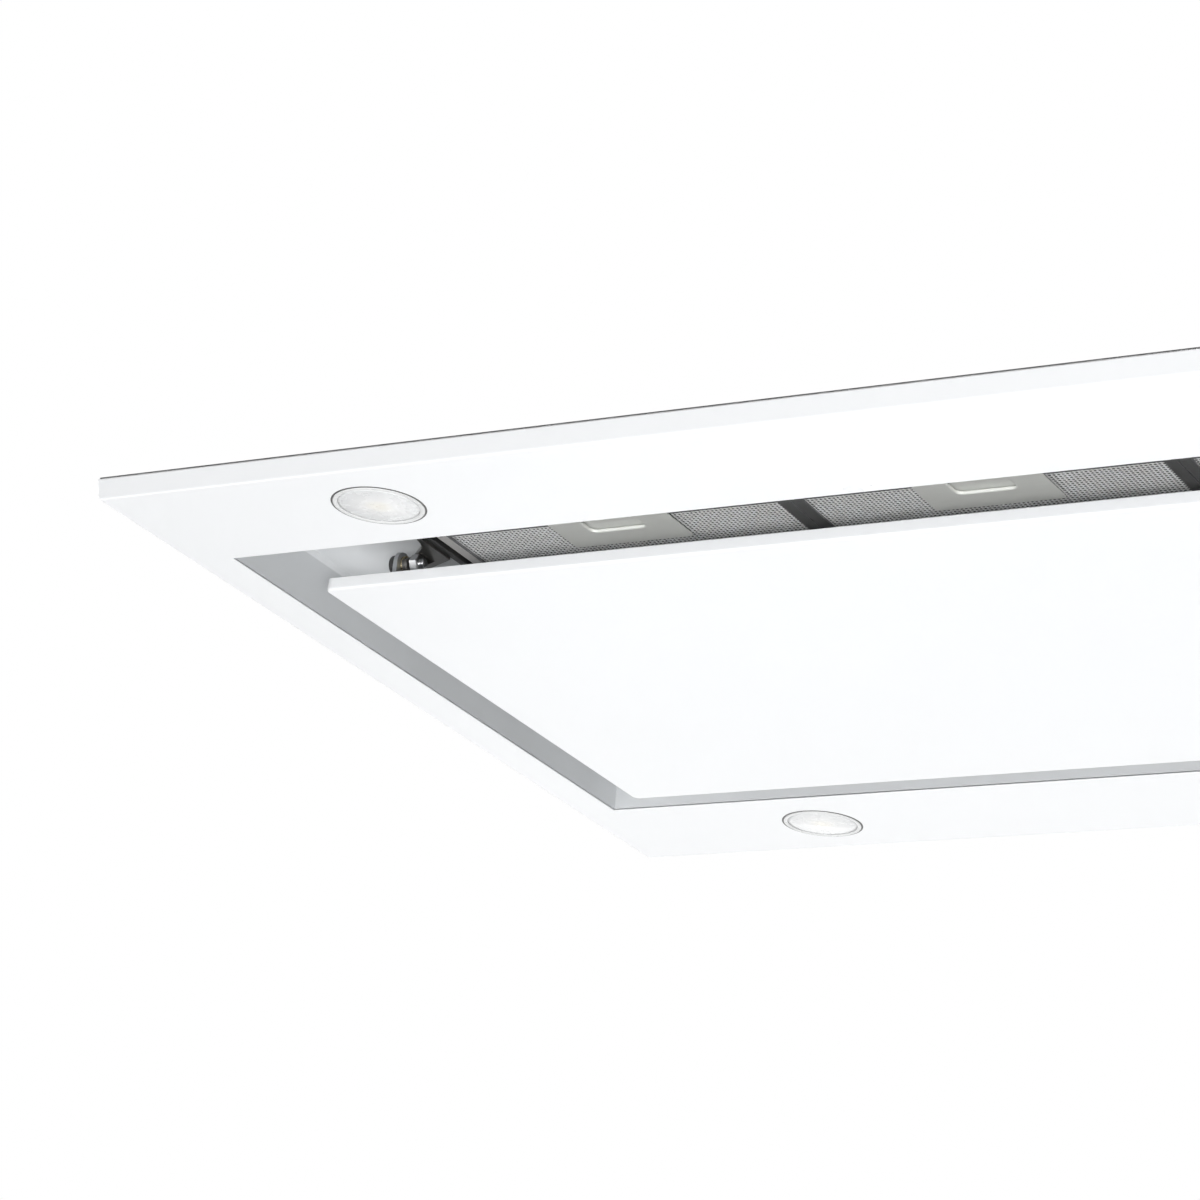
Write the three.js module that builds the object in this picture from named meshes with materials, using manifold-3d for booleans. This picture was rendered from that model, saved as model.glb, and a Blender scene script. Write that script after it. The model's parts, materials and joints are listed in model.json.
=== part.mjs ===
// A ceiling range hood with perimeter suction, in millimetres, +Z up.
// It is a white trim frame under the ceiling, a recessed grey well, a hinged white panel that leaves a
// suction slot on all four sides, three metal grease filters above it, and a blower box in the ceiling void.
// The origin is on the ceiling plane, at the centre of the hood. The front is at -Y.
import * as THREE from "three";
import { mergeVertices } from "three/addons/utils/BufferGeometryUtils.js";
import Module from "manifold-3d";

const wasm = await Module();
wasm.setup();

// ---- Driving dimensions ----
const gap = 0.3; // clear space left between pieces that touch

const frameLength = 1000;
const frameWidth = 700;
const frameDepth = 14; // how far the trim hangs below the ceiling
const frameDraft = 2; // the trim's edge leans in by this much towards the bottom
const frameSheet = 1.5;
const ceilingLip = 15; // width of the flange that meets the ceiling

const wellLength = 940;
const wellWidth = 490;
const wellCeiling = 23.5; // underside of the well's top sheet
const wellSheet = 1.2;
const wellCove = 3; // slanted band between the well's walls and its top sheet

const filterCount = 3;
const filterPitch = 243;
const filterWidth = 242.4;
const filterLength = 378;
const filterBottom = 15; // the filters hang well below the well's top sheet
const filterThickness = 9;
const filterRim = 8; // width of a filter's edge channel

const panelLength = 858;
const panelWidth = 404;
const panelThickness = 8;
const panelCorner = 5;
const panelSheet = 1.2;

const hingeY = 190; // the rear pair of pins, which the panel turns on
const catchY = -166; // the front pair of pins, which the spring clips hold
const pivotHeight = 6; // above the ceiling plane
const earRadius = 8;
const pinRadius = 3;
const pinClearance = 0.3;

const lampRadius = 27.5;
const lampHole = 26;
const lensRadius = 24.3;
const lensTop = 2; // above the trim's underside
const lampFromEnd = 169;
const lampFromSide = 52.5;

const boxLength = 776;
const boxWidth = 428;
const boxBottom = 52.3;
const boxTop = 262;
const boxSheet = 1.2;

const ductRadius = 74.5;
const ductWall = 2;
const ductCentreX = 86;
const ductCentreZ = 171;
const ductEnd = 292;
const damperY = 219;

const fanX = 0;
const fanY = -22;
const impellerRadius = 105;
const scrollBottom = 92;
const scrollTop = 250;

// ---- Levels that follow from them ----
const underside = -frameDepth;
const panelTop = underside;
const panelBottom = underside - panelThickness;

// ---- Solids: three.js shapes in, manifold booleans between them, three.js geometry out ----
function solid(geometry) {
  const bare = (geometry.index ? geometry.toNonIndexed() : geometry).clone();
  bare.deleteAttribute("normal");
  bare.deleteAttribute("uv");
  const merged = mergeVertices(bare, 1e-4);
  return new wasm.Manifold(
    new wasm.Mesh({
      numProp: 3,
      vertProperties: new Float32Array(merged.attributes.position.array),
      triVerts: new Uint32Array(merged.index.array),
    }),
  );
}

function geometryOf(body) {
  const mesh = body.getMesh();
  const position = new Float32Array(mesh.numVert * 3);
  for (let i = 0; i < mesh.numVert; i++)
    for (let k = 0; k < 3; k++) position[3 * i + k] = mesh.vertProperties[mesh.numProp * i + k];
  const geometry = new THREE.BufferGeometry();
  geometry.setAttribute("position", new THREE.BufferAttribute(position, 3));
  geometry.setIndex(new THREE.BufferAttribute(mesh.triVerts.slice(), 1));
  geometry.computeVertexNormals();
  return geometry;
}

const join = (first, ...rest) => rest.reduce((sum, next) => sum.add(next), first);
const cut = (first, ...rest) => rest.reduce((sum, next) => sum.subtract(next), first);

function box(x0, x1, y0, y1, z0, z1) {
  const shape = new THREE.BoxGeometry(x1 - x0, y1 - y0, z1 - z0);
  shape.translate((x0 + x1) / 2, (y0 + y1) / 2, (z0 + z1) / 2);
  return solid(shape);
}

// A centred block, length by width, that may change size evenly from its bottom to its top.
function slab(length, width, z0, z1, topGrow = 0) {
  const shape = new THREE.BoxGeometry(length, width, z1 - z0);
  const place = shape.attributes.position;
  for (let i = 0; i < place.count; i++)
    if (place.getZ(i) > 0)
      place.setXY(
        i,
        place.getX(i) + Math.sign(place.getX(i)) * topGrow,
        place.getY(i) + Math.sign(place.getY(i)) * topGrow,
      );
  shape.translate(0, 0, (z0 + z1) / 2);
  return solid(shape);
}

// A cylinder from one end to the other along x, y or z.
function rod(axis, radius, start, end, at, sides = 24) {
  const shape = new THREE.CylinderGeometry(radius, radius, end - start, sides);
  shape.translate(0, (start + end) / 2, 0);
  if (axis === "x") shape.rotateZ(-Math.PI / 2);
  if (axis === "z") shape.rotateX(Math.PI / 2);
  shape.translate(...at);
  return solid(shape);
}

// A flat outline in X and Y, raised from z0 to z1.
function plate(outline, z0, z1, curveSegments = 6) {
  const shape = new THREE.ExtrudeGeometry(outline, {
    depth: z1 - z0,
    bevelEnabled: false,
    curveSegments,
  });
  shape.translate(0, 0, z0);
  return solid(shape);
}

// A flat outline in Y and Z, raised from x0 to x1.
function sidePlate(outline, x0, x1, curveSegments = 8) {
  const shape = new THREE.ExtrudeGeometry(outline, {
    depth: x1 - x0,
    bevelEnabled: false,
    curveSegments,
  });
  shape.rotateZ(Math.PI / 2);
  shape.rotateY(Math.PI / 2);
  shape.translate(x0, 0, 0);
  return solid(shape);
}

function roundedRectangle(length, width, radius) {
  const x = length / 2;
  const y = width / 2;
  const outline = new THREE.Shape();
  outline.moveTo(-x + radius, -y);
  outline.lineTo(x - radius, -y);
  outline.absarc(x - radius, -y + radius, radius, -Math.PI / 2, 0);
  outline.absarc(x - radius, y - radius, radius, 0, Math.PI / 2);
  outline.absarc(-x + radius, y - radius, radius, Math.PI / 2, Math.PI);
  outline.absarc(-x + radius, -y + radius, radius, Math.PI, Math.PI * 1.5);
  return outline;
}

// A turned piece. The profile is a closed list of [radius, height] that runs outwards along its foot,
// and it is turned about +Z.
function turned(profile, at, sides = 24) {
  const shape = new THREE.LatheGeometry(
    profile.map(([radius, height]) => new THREE.Vector2(radius, height)),
    sides,
  );
  shape.rotateX(Math.PI / 2);
  shape.translate(...at);
  return solid(shape);
}

const mirrored = (body) => body.mirror([1, 0, 0]);

// ---- Finishes ----
const finish = (color, roughness, metalness) =>
  new THREE.MeshStandardMaterial({ color, roughness, metalness });
const whitePaint = finish(0xf7f8fa, 0.3, 0);
const greyPaint = finish(0xa9acb1, 0.5, 0);
const blackPaint = finish(0x1f2022, 0.45, 0);
const darkAnodised = finish(0x3a3c3e, 0.4, 0.7);
const meshMetal = finish(0xc2c4c8, 0.35, 0.9);
const satinMetal = finish(0xa6a8a0, 0.42, 0.8);
const darkSpring = finish(0x444442, 0.38, 0.7);
const brightSteel = finish(0xd8dadd, 0.15, 1);
const galvanised = finish(0xa8adb2, 0.5, 0.8);
const greyPlastic = finish(0x8e9194, 0.6, 0);
const blackPlastic = finish(0x26272a, 0.55, 0);
const whitePlastic = finish(0xeeeeec, 0.35, 0);
const frostedLens = finish(0xf6f6f2, 0.5, 0);
const castAluminium = finish(0xb5b8bb, 0.5, 0.8);
const boardGreen = finish(0x2d5b3c, 0.5, 0);

const hood = new THREE.Group();
function add(name, body, material) {
  const mesh = new THREE.Mesh(geometryOf(body), material);
  mesh.name = name;
  hood.add(mesh);
}

// ---- Trim frame: a folded white sheet with a lip that meets the ceiling ----
function trimFrame() {
  const outer = slab(
    frameLength - 2 * frameDraft,
    frameWidth - 2 * frameDraft,
    underside,
    0,
    frameDraft,
  );
  const hollow = slab(
    frameLength - 2 * (frameDraft + frameSheet),
    frameWidth - 2 * (frameDraft + frameSheet),
    underside + frameSheet,
    -frameSheet,
    frameDraft * 0.7,
  );
  const topHole = slab(frameLength - 2 * ceilingLip, frameWidth - 2 * ceilingLip, -frameSheet - 1, 1);
  const opening = slab(wellLength, wellWidth, underside - 1, underside + frameSheet + 1);
  const lampHoles = lampPlaces().map(([x, y]) =>
    rod("z", lampHole, underside - 1, underside + frameSheet + 1, [x, y, 0], 32),
  );
  return cut(outer, hollow, topHole, opening, ...lampHoles);
}

function lampPlaces() {
  const x = frameLength / 2 - lampFromEnd;
  const y = frameWidth / 2 - lampFromSide;
  return [
    [-x, -y],
    [x, -y],
    [-x, y],
    [x, y],
  ];
}

// ---- Well liner: grey walls, a slanted cove and a top sheet with the filter opening ----
const carrierLength = filterCount * filterPitch + 4; // inside the filter carrier
const carrierWidth = filterLength + 20;
const carrierSheet = 1.5;
const carrierRimLength = carrierLength + 25;
const carrierRimWidth = carrierWidth + 16;
const carrierRimBottom = 18.5;

function wellLiner() {
  const foot = underside + frameSheet + gap;
  const coveFoot = wellCeiling - wellCove;
  const outer = join(
    slab(wellLength + 2 * wellSheet, wellWidth + 2 * wellSheet, foot, coveFoot),
    slab(
      wellLength + 2 * wellSheet,
      wellWidth + 2 * wellSheet,
      coveFoot,
      wellCeiling + wellSheet,
      -wellCove,
    ),
    slab(wellLength + 24, wellWidth + 24, foot, foot + wellSheet),
  );
  const inside = join(
    slab(wellLength, wellWidth, foot - 1, coveFoot),
    slab(wellLength, wellWidth, coveFoot, wellCeiling, -wellCove),
  );
  const filterOpening = slab(
    carrierLength + 2 * (carrierSheet + gap),
    carrierWidth + 2 * (carrierSheet + gap),
    wellCeiling - 1,
    wellCeiling + wellSheet + 1,
  );
  return cut(outer, inside, filterOpening);
}

// ---- Filter carrier: a black collar through the top sheet, with ledges that the filters sit on ----
const ledgeTop = filterBottom - gap;
const ledgeBottom = ledgeTop - 1.4;

function filterCarrier() {
  const top = boxBottom - gap;
  const body = join(
    slab(carrierLength + 2 * carrierSheet, carrierWidth + 2 * carrierSheet, ledgeBottom, top),
    slab(carrierRimLength, carrierRimWidth, carrierRimBottom, wellCeiling - gap),
    slab(boxLength, boxWidth, top - 1.2, top),
  );
  const airWay = cut(
    slab(carrierLength, carrierWidth, ledgeBottom - 1, top + 1),
    ...[-1, 1].map((side) => ledge(side)),
  );
  return cut(body, airWay);
}

function ledge(side) {
  const wall = (side * carrierWidth) / 2;
  const tip = wall - side * 7;
  return box(
    -carrierLength / 2,
    carrierLength / 2,
    Math.min(wall, tip),
    Math.max(wall, tip),
    ledgeBottom,
    ledgeTop,
  );
}

// ---- Grease filters: edge channel, mesh pack, front plate and sliding latch ----
const plateWidth = 82;
const plateFront = -filterLength / 2 + 1;
const plateBack = -148;
const windowWidth = 38;
const windowFront = -186.5;
const windowBack = -168;
const latchTravel = 4;
const latchFloor = filterBottom + 1.6; // the recess behind the window is this high
const latchSheet = 1;

function filterFrame(x) {
  const channel = cut(
    slab(filterWidth, filterLength, filterBottom, filterBottom + filterThickness),
    slab(
      filterWidth - 2 * filterRim,
      filterLength - 2 * filterRim,
      filterBottom - 1,
      filterBottom + filterThickness + 1,
    ),
    slab(
      filterWidth - 2,
      filterLength - 2,
      filterBottom + 1,
      filterBottom + filterThickness - 1,
    ),
  );
  const lip = filterBottom + filterThickness / 2;
  const tabs = [-70, 70].map((at) =>
    box(at - 12, at + 12, filterLength / 2 - 1.2, filterLength / 2 + 7, lip - 4.3, lip - 3),
  );
  const rimInner = -filterLength / 2 + filterRim + 1;
  const boltHole = box(
    -10,
    10,
    -filterLength / 2 - 1,
    rimInner,
    filterBottom + 1.6,
    filterBottom + 5.4,
  );
  const windowNotch = box(
    -windowWidth / 2,
    windowWidth / 2,
    windowFront,
    rimInner,
    filterBottom - 1,
    latchFloor,
  );
  return cut(join(channel, ...tabs), boltHole, windowNotch).translate([x, 0, 0]);
}

// The mesh pack is pleated, and leaves room for the latch above the front plate.
function filterMesh(x) {
  const pleats = 20;
  const length = filterWidth - 2 * 1.4;
  const half = length / 2;
  const step = length / pleats;
  const low = filterBottom + 1.4;
  const high = filterBottom + filterThickness - 1.4;
  const pleat = 1.6;
  const outline = new THREE.Shape();
  outline.moveTo(-half, low);
  for (let i = 0; i < pleats; i++) {
    outline.lineTo(-half + (i + 0.5) * step, low + pleat);
    outline.lineTo(-half + (i + 1) * step, low);
  }
  for (let i = pleats; i > 0; i--) {
    outline.lineTo(-half + i * step, high);
    outline.lineTo(-half + (i - 0.5) * step, high - pleat);
  }
  outline.lineTo(-half, high);
  const width = filterLength - 2 * 1.4;
  const shape = new THREE.ExtrudeGeometry(outline, { depth: width, bevelEnabled: false });
  shape.rotateX(Math.PI / 2);
  shape.translate(0, width / 2, 0);
  const pack = solid(shape);
  const plateRoom = box(
    -plateWidth / 2 - gap,
    plateWidth / 2 + gap,
    plateFront - 2,
    plateBack + gap,
    low - 1,
    latchFloor + latchSheet + gap,
  );
  const latchRoom = box(
    -windowWidth / 2 - 3,
    windowWidth / 2 + 3,
    -filterLength / 2,
    windowBack + 3,
    low - 1,
    high - 0.5,
  );
  return cut(pack, plateRoom, latchRoom).translate([x, 0, 0]);
}

function filterPlate(x) {
  const bottom = filterBottom - 1.2;
  const sheetTop = filterBottom - gap;
  const face = box(-plateWidth / 2, plateWidth / 2, plateFront, plateBack, bottom, sheetTop);
  const window = box(
    -windowWidth / 2,
    windowWidth / 2,
    windowFront,
    windowBack,
    bottom - 1,
    sheetTop + 1,
  );
  const hems = [-1, 1].map((side) => {
    const edge = (side * plateWidth) / 2;
    const inner = edge - side * 1.2;
    return box(
      Math.min(edge, inner),
      Math.max(edge, inner),
      -filterLength / 2 + filterRim + 1,
      plateBack,
      bottom,
      filterBottom + 1.8,
    );
  });
  return cut(join(face, ...hems), window).translate([x, 0, 0]);
}

// A sheet that slides behind the plate's window. It has two ridges for a fingertip, and a bolt that
// reaches over the carrier's front ledge.
function filterLatch(x) {
  const half = windowWidth / 2 + 2;
  const front = windowFront - 0.5;
  const back = windowBack + latchTravel + 1;
  const sheetTop = latchFloor + latchSheet;
  const ridges = [2.5, 5].map((along) =>
    box(-14, 14, front + along, front + along + 0.9, latchFloor - 1.2, latchFloor + 0.5),
  );
  return join(
    box(-half, half, front, back, latchFloor, sheetTop),
    box(-9, 9, -filterLength / 2 - 6.5, front + 3, sheetTop - 0.6, sheetTop + 2.4),
    ...ridges,
  ).translate([x, 0, 0]);
}

// ---- Panel: a white tray with rounded corners, rails along its ends and pins in their ears ----
const earX = 397; // inner face of a rail's ear
const earThickness = 3;
const bracketOuter = earX - 3; // outer face of a bracket's ear
const bracketInner = bracketOuter - earThickness;

function panelSkin() {
  const outer = plate(roundedRectangle(panelLength, panelWidth, panelCorner), panelBottom, panelTop);
  const inside = plate(
    roundedRectangle(
      panelLength - 2 * panelSheet,
      panelWidth - 2 * panelSheet,
      panelCorner - panelSheet,
    ),
    panelBottom + panelSheet,
    panelTop + 1,
  );
  return cut(outer, inside);
}

function earOutline(y, foot) {
  const outline = new THREE.Shape();
  outline.moveTo(y - earRadius, foot);
  outline.lineTo(y + earRadius, foot);
  outline.lineTo(y + earRadius, pivotHeight);
  outline.absarc(y, pivotHeight, earRadius, 0, Math.PI);
  return outline;
}

function panelRail() {
  const bottom = panelBottom + panelSheet + gap;
  const half = panelWidth / 2 - panelSheet - 5;
  const railOuter = earX + 13;
  const railInner = earX - 14;
  const channel = cut(
    box(railInner, railOuter, -half, half, bottom, panelTop - gap),
    box(railInner + 1.5, railOuter - 1.5, -half - 1, half + 1, bottom - 1, panelTop - gap - 1.5),
  );
  const ears = [hingeY, catchY].map((y) =>
    cut(
      sidePlate(earOutline(y, panelTop - gap - 1), earX, earX + earThickness),
      rod("x", pinRadius + pinClearance + 1, earX - 1, earX + earThickness + 1, [0, y, pivotHeight]),
    ),
  );
  return join(channel, ...ears);
}

function panelCrossRail() {
  const bottom = panelBottom + panelSheet + gap;
  const half = earX - 14 - 1;
  return cut(
    box(-half, half, -20, 20, bottom, panelTop - gap),
    box(-half - 1, half + 1, -18.5, 18.5, bottom - 1, panelTop - gap - 1.5),
  );
}

// Along X from the outside: cap, ear, collar, neck, hexagon nut and threaded end.
function panelPin(y) {
  const at = [0, y, pivotHeight];
  return join(
    rod("x", 6.5, earX + earThickness + gap, earX + earThickness + 5.3, at, 12),
    rod("x", pinRadius + 1, earX - 0.5, earX + earThickness + 1, at, 12),
    rod("x", 5.5, bracketOuter + 0.5, earX - gap, at, 12),
    rod("x", pinRadius, bracketInner - 1, bracketOuter + 1, at, 16),
    rod("x", 6, bracketInner - 6.5, bracketInner - 0.5, at, 6),
    rod("x", pinRadius, bracketInner - 10, bracketInner - 6, at, 16),
  );
}

// ---- Brackets beside the carrier's rim. The rear pair are hinges, the front pair are spring clips ----
const bracketTop = carrierRimBottom + 1.2;
const bracketSheet = 2.6;

// A flat arm welded to the side of the rim. It leans towards the middle of the hood on its way out.
function bracketArm(y) {
  const lean = -Math.sign(y);
  const foot = carrierRimLength / 2 + gap;
  const tip = bracketOuter + 10;
  const arm = new THREE.Shape();
  arm.moveTo(foot, y - lean * 11);
  arm.lineTo(foot + 3.5, y - lean * 11);
  arm.bezierCurveTo(foot + 5, y + lean * 3, foot + 11, y + lean * 5, tip, y + lean * 18);
  arm.lineTo(tip, y + lean * 36);
  arm.lineTo(foot, y + lean * 24);
  return plate(arm, bracketTop - bracketSheet, bracketTop);
}

function bracketEar(y) {
  const lean = -Math.sign(y);
  const turn = lean > 0 ? [Math.PI, 2 * Math.PI, false] : [0, -Math.PI, true];
  const outline = new THREE.Shape();
  outline.moveTo(y + lean * 27, bracketTop - 1);
  outline.lineTo(y + lean * 12, bracketTop - 1);
  outline.lineTo(y - lean * earRadius, pivotHeight);
  outline.absarc(y, pivotHeight, earRadius, ...turn);
  return sidePlate(outline, bracketInner, bracketOuter);
}

function hingeBracket() {
  const eye = rod("x", pinRadius + pinClearance, bracketInner - 1, bracketOuter + 1, [
    0,
    hingeY,
    pivotHeight,
  ]);
  return cut(join(bracketArm(hingeY), bracketEar(hingeY)), eye);
}

// The clip's eye is open below, so that the pin leaves it when the panel is pulled down.
function catchClip() {
  const ends = [bracketInner - 1, bracketOuter + 1];
  const reach = pinRadius + pinClearance;
  const eye = rod("x", reach, ...ends, [0, catchY, pivotHeight]);
  const mouth = box(...ends, catchY - reach, catchY + reach, pivotHeight - 20, pivotHeight);
  return cut(join(bracketArm(catchY), bracketEar(catchY)), eye, mouth);
}

// ---- Lamps: narrow bezel, almost flush frosted lens and finned body ----
function lampBezel([x, y]) {
  const tube = lampHole - 0.6;
  const bore = lensRadius + gap;
  return turned(
    [
      [lampRadius, underside - gap],
      [tube, underside - gap],
      [tube, underside + 5],
      [bore, underside + 5],
      [bore, underside - 0.7],
      [bore + 0.3, underside - 1.2],
      [lampRadius - 0.9, underside - 1.2],
      [lampRadius, underside - 0.7],
      [lampRadius, underside - gap],
    ],
    [x, y, 0],
  );
}

function lampLens([x, y]) {
  return turned(
    [
      [0, underside + lensTop],
      [0, underside - 0.9],
      [lensRadius * 0.6, underside - 0.6],
      [lensRadius, underside - 0.1],
      [lensRadius, underside + lensTop],
      [0, underside + lensTop],
    ],
    [x, y, 0],
  );
}

function lampBody([x, y]) {
  const bottom = underside + lensTop + gap;
  const core = rod("z", 16, bottom, bottom + 24, [x, y, 0], 16);
  const fins = [0, 9, 18].map((up) =>
    rod("z", lensRadius - 0.5, bottom + up, bottom + up + 3, [x, y, 0], 16),
  );
  return join(core, ...fins);
}

// ---- Plenum box, blower and duct ----
const hangerY = 170;
const hangerScrewZ = 210;
const hangerPlaces = [
  [-1, -1],
  [1, -1],
  [-1, 1],
  [1, 1],
];

function plenumBox() {
  const shell = cut(
    slab(boxLength, boxWidth, boxBottom, boxTop),
    slab(boxLength - 2 * boxSheet, boxWidth - 2 * boxSheet, boxBottom - 1, boxTop - boxSheet),
  );
  const ductHole = rod("y", ductRadius - ductWall, boxWidth / 2 - 5, boxWidth / 2 + 5, [
    ductCentreX,
    0,
    ductCentreZ,
  ]);
  const screwHoles = hangerPlaces.map(([sideX, sideY]) =>
    rod("x", 3.4, -5, 5, [(sideX * boxLength) / 2, sideY * hangerY, hangerScrewZ], 12),
  );
  const wireHole = rod("x", 8, -5, 5, [-boxLength / 2, 60, 175], 12);
  return cut(shell, ductHole, ...screwHoles, wireHole);
}

// The volute's radius grows steadily round the fan until it meets the straight outlet.
const outletInner = ductCentreX - 74;
const outletOuter = ductCentreX + 74;
const voluteEnd = boxWidth / 2 - boxSheet - gap;
const voluteWrap = 1.53; // half turns from the outlet round to the tongue

function voluteOutline(inset) {
  const steps = 24;
  const tight = impellerRadius + 12;
  const wide = outletOuter - fanX;
  const outline = new THREE.Shape();
  outline.moveTo(outletOuter - inset, voluteEnd + 1);
  for (let i = 0; i <= steps; i++) {
    const turn = (i / steps) * Math.PI * voluteWrap;
    const radius = wide + (tight - wide) * (i / steps) - inset;
    outline.lineTo(fanX + radius * Math.cos(turn), fanY - radius * Math.sin(turn));
  }
  outline.lineTo(outletInner + inset, fanY + tight);
  outline.lineTo(outletInner + inset, voluteEnd + 1);
  return outline;
}

function scrollHousing() {
  const wall = 1.5;
  const shell = cut(
    plate(voluteOutline(0), scrollBottom, scrollTop),
    plate(voluteOutline(wall), scrollBottom - 1, scrollTop - wall),
  );
  const motorHole = rod("z", 40, scrollTop - 5, scrollTop + 5, [fanX, fanY, 0]);
  const end = box(-400, 400, voluteEnd, voluteEnd + 20, scrollBottom - 5, scrollTop + 5);
  return cut(shell, motorHole, end);
}

function scrollInlet() {
  const top = scrollBottom - gap;
  const sheet = cut(
    plate(voluteOutline(0), top - 1.5, top),
    box(-400, 400, voluteEnd, voluteEnd + 20, top - 5, top + 5),
  );
  const hole = rod("z", 88, top - 5, top + 5, [fanX, fanY, 0], 24);
  const mouth = turned(
    [
      [92, top - 2.5],
      [92, top + 1],
      [86, top + 1],
      [84.5, top + 3],
      [82.5, top + 3],
      [82.5, top - 2.5],
      [86, top - 8],
      [92, top - 2.5],
    ],
    [fanX, fanY, 0],
  );
  return join(cut(sheet, hole), mouth);
}

function impeller() {
  const blades = 22;
  const bottom = 100;
  const top = 236;
  const inner = 86;
  const hubFloor = 138;
  const ring = (z0, z1) =>
    cut(
      rod("z", impellerRadius, z0, z1, [fanX, fanY, 0], 32),
      rod("z", inner, z0 - 1, z1 + 1, [fanX, fanY, 0], 32),
    );
  const disc = join(
    rod("z", inner + 6, hubFloor, hubFloor + 2, [fanX, fanY, 0], 32),
    rod("z", 12, hubFloor - 10, hubFloor + 6, [fanX, fanY, 0], 16),
  );
  const shaftHole = rod("z", 4 + gap, 0, 300, [fanX, fanY, 0], 12);
  const bladeShape = new THREE.Shape();
  bladeShape.moveTo(inner + 1, 0);
  bladeShape.quadraticCurveTo(97, 1, impellerRadius - 1, 9);
  bladeShape.lineTo(impellerRadius - 2, 9.8);
  bladeShape.quadraticCurveTo(96, 2.2, inner + 1, 1.3);
  const blade = plate(bladeShape, bottom + 1, top - 1, 2);
  const fan = [];
  for (let i = 0; i < blades; i++)
    fan.push(blade.rotate([0, 0, (360 * i) / blades]).translate([fanX, fanY, 0]));
  return cut(join(ring(bottom, bottom + 3), ring(top - 3, top), disc, ...fan), shaftHole);
}

function motor() {
  const at = [fanX, fanY, 0];
  return join(
    rod("z", 46, 158, 238, at, 28),
    rod("z", 36, 150, 244, at, 28),
    rod("z", 4, 124, 160, at, 12),
  );
}

// A three-armed plate that carries the motor under the scroll's top sheet.
function motorMount() {
  const top = scrollTop - 1.5 - gap;
  const ring = cut(
    rod("z", 58, top - 3, top, [fanX, fanY, 0], 32),
    rod("z", 36 + gap, top - 10, top + 1, [fanX, fanY, 0], 28),
  );
  const arms = [90, 210, 330].map((turn) =>
    box(40, 78, -9, 9, top - 3, top).rotate([0, 0, turn]).translate([fanX, fanY, 0]),
  );
  return join(ring, ...arms);
}

function ductCollar() {
  const at = [ductCentreX, 0, ductCentreZ];
  const start = boxWidth / 2 + gap;
  const body = join(
    rod("y", ductRadius, start, ductEnd, at, 40),
    rod("y", ductRadius + 10, start, start + 2, at, 40),
  );
  const bore = rod("y", ductRadius - ductWall, start - 1, ductEnd + 1, at, 40);
  const pin = rod("z", 2, -ductRadius + 1, ductRadius - 1, [ductCentreX, damperY, ductCentreZ], 12);
  return join(cut(body, bore), pin);
}

// Half a disc with knuckles round the upright pin. The two flaps' knuckles lie at different heights.
function damperFlap(side) {
  const radius = ductRadius - ductWall - 1.2;
  const half = cut(
    rod("y", radius, damperY - 0.7, damperY + 0.7, [0, 0, 0], 40),
    box(-200, 4.2, damperY - 5, damperY + 5, -200, 200),
  );
  const heights = side > 0 ? [-46, 22] : [-22, 46];
  const knuckles = heights.map((z) =>
    join(
      rod("z", 3.6, z - 9, z + 9, [0, damperY, 0], 16),
      box(2, 6, damperY - 0.7, damperY + 0.7, z - 9, z + 9),
    ),
  );
  const pinHole = rod("z", 2 + gap, -100, 100, [0, damperY, 0], 12);
  const flap = cut(join(half, ...knuckles), pinHole);
  return (side > 0 ? flap : mirrored(flap)).translate([ductCentreX, 0, ductCentreZ]);
}

// ---- Electrics on the left end of the plenum box ----
const controlDepth = 46;
const controlX = -boxLength / 2 - gap;

function controlBox() {
  const x0 = controlX - controlDepth;
  const shell = cut(
    box(x0, controlX, -40, 110, 120, 232),
    box(x0 - 1, controlX - 2, -38, 108, 122, 230),
  );
  const glandHole = rod("z", 8 + gap, 110, 130, [controlX - 24, 80, 0], 16);
  const wireHole = rod("x", 8, -5, 5, [controlX, 60, 175], 12);
  return cut(shell, glandHole, wireHole);
}

function controlCover() {
  const x1 = controlX - controlDepth - gap;
  return join(
    box(x1 - 2, x1, -42, 112, 118, 234),
    box(x1 - 1, x1 + 4, -37.5, 107.5, 122.5, 124.5),
    box(x1 - 1, x1 + 4, -37.5, 107.5, 227.5, 229.5),
  );
}

function controlBoard() {
  const face = controlX - 10;
  return join(
    box(face - 1.6, face, -32, 60, 128, 224),
    box(face - 26, face - 1, -24, 4, 196, 220),
    box(face - 20, face - 1, 12, 36, 200, 218),
    box(face - 16, face - 1, -26, 50, 132, 144),
    rod("x", 8, face - 28, face - 1, [0, 46, 190], 16),
    rod("x", 6, face - 24, face - 1, [0, 28, 176], 16),
  );
}

function cableGland() {
  const at = [controlX - 24, 80, 0];
  return cut(
    join(rod("z", 8, 104, 128, at, 16), rod("z", 12, 112, 119.7, at, 6), rod("z", 10.5, 100, 106, at, 6)),
    rod("z", 4.5, 90, 140, at, 12),
  );
}

// ---- Hangers: slotted straps that slide on the box's ends, each held by a clamp screw ----
function hanger() {
  const x0 = boxLength / 2 + gap;
  const sheet = 3;
  const strap = box(x0, x0 + sheet, -15, 15, 160, 300);
  const flange = box(x0, x0 + 42, -15, 15, 300 - sheet, 300);
  const slot = join(
    box(x0 - 1, x0 + sheet + 1, -3.6, 3.6, 174, 246),
    rod("x", 3.6, x0 - 1, x0 + sheet + 1, [0, 0, 174], 12),
    rod("x", 3.6, x0 - 1, x0 + sheet + 1, [0, 0, 246], 12),
  );
  const rodHole = rod("z", 4.5, 290, 310, [x0 + 26, 0, 0], 20);
  return cut(join(strap, flange), slot, rodHole);
}

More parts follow.
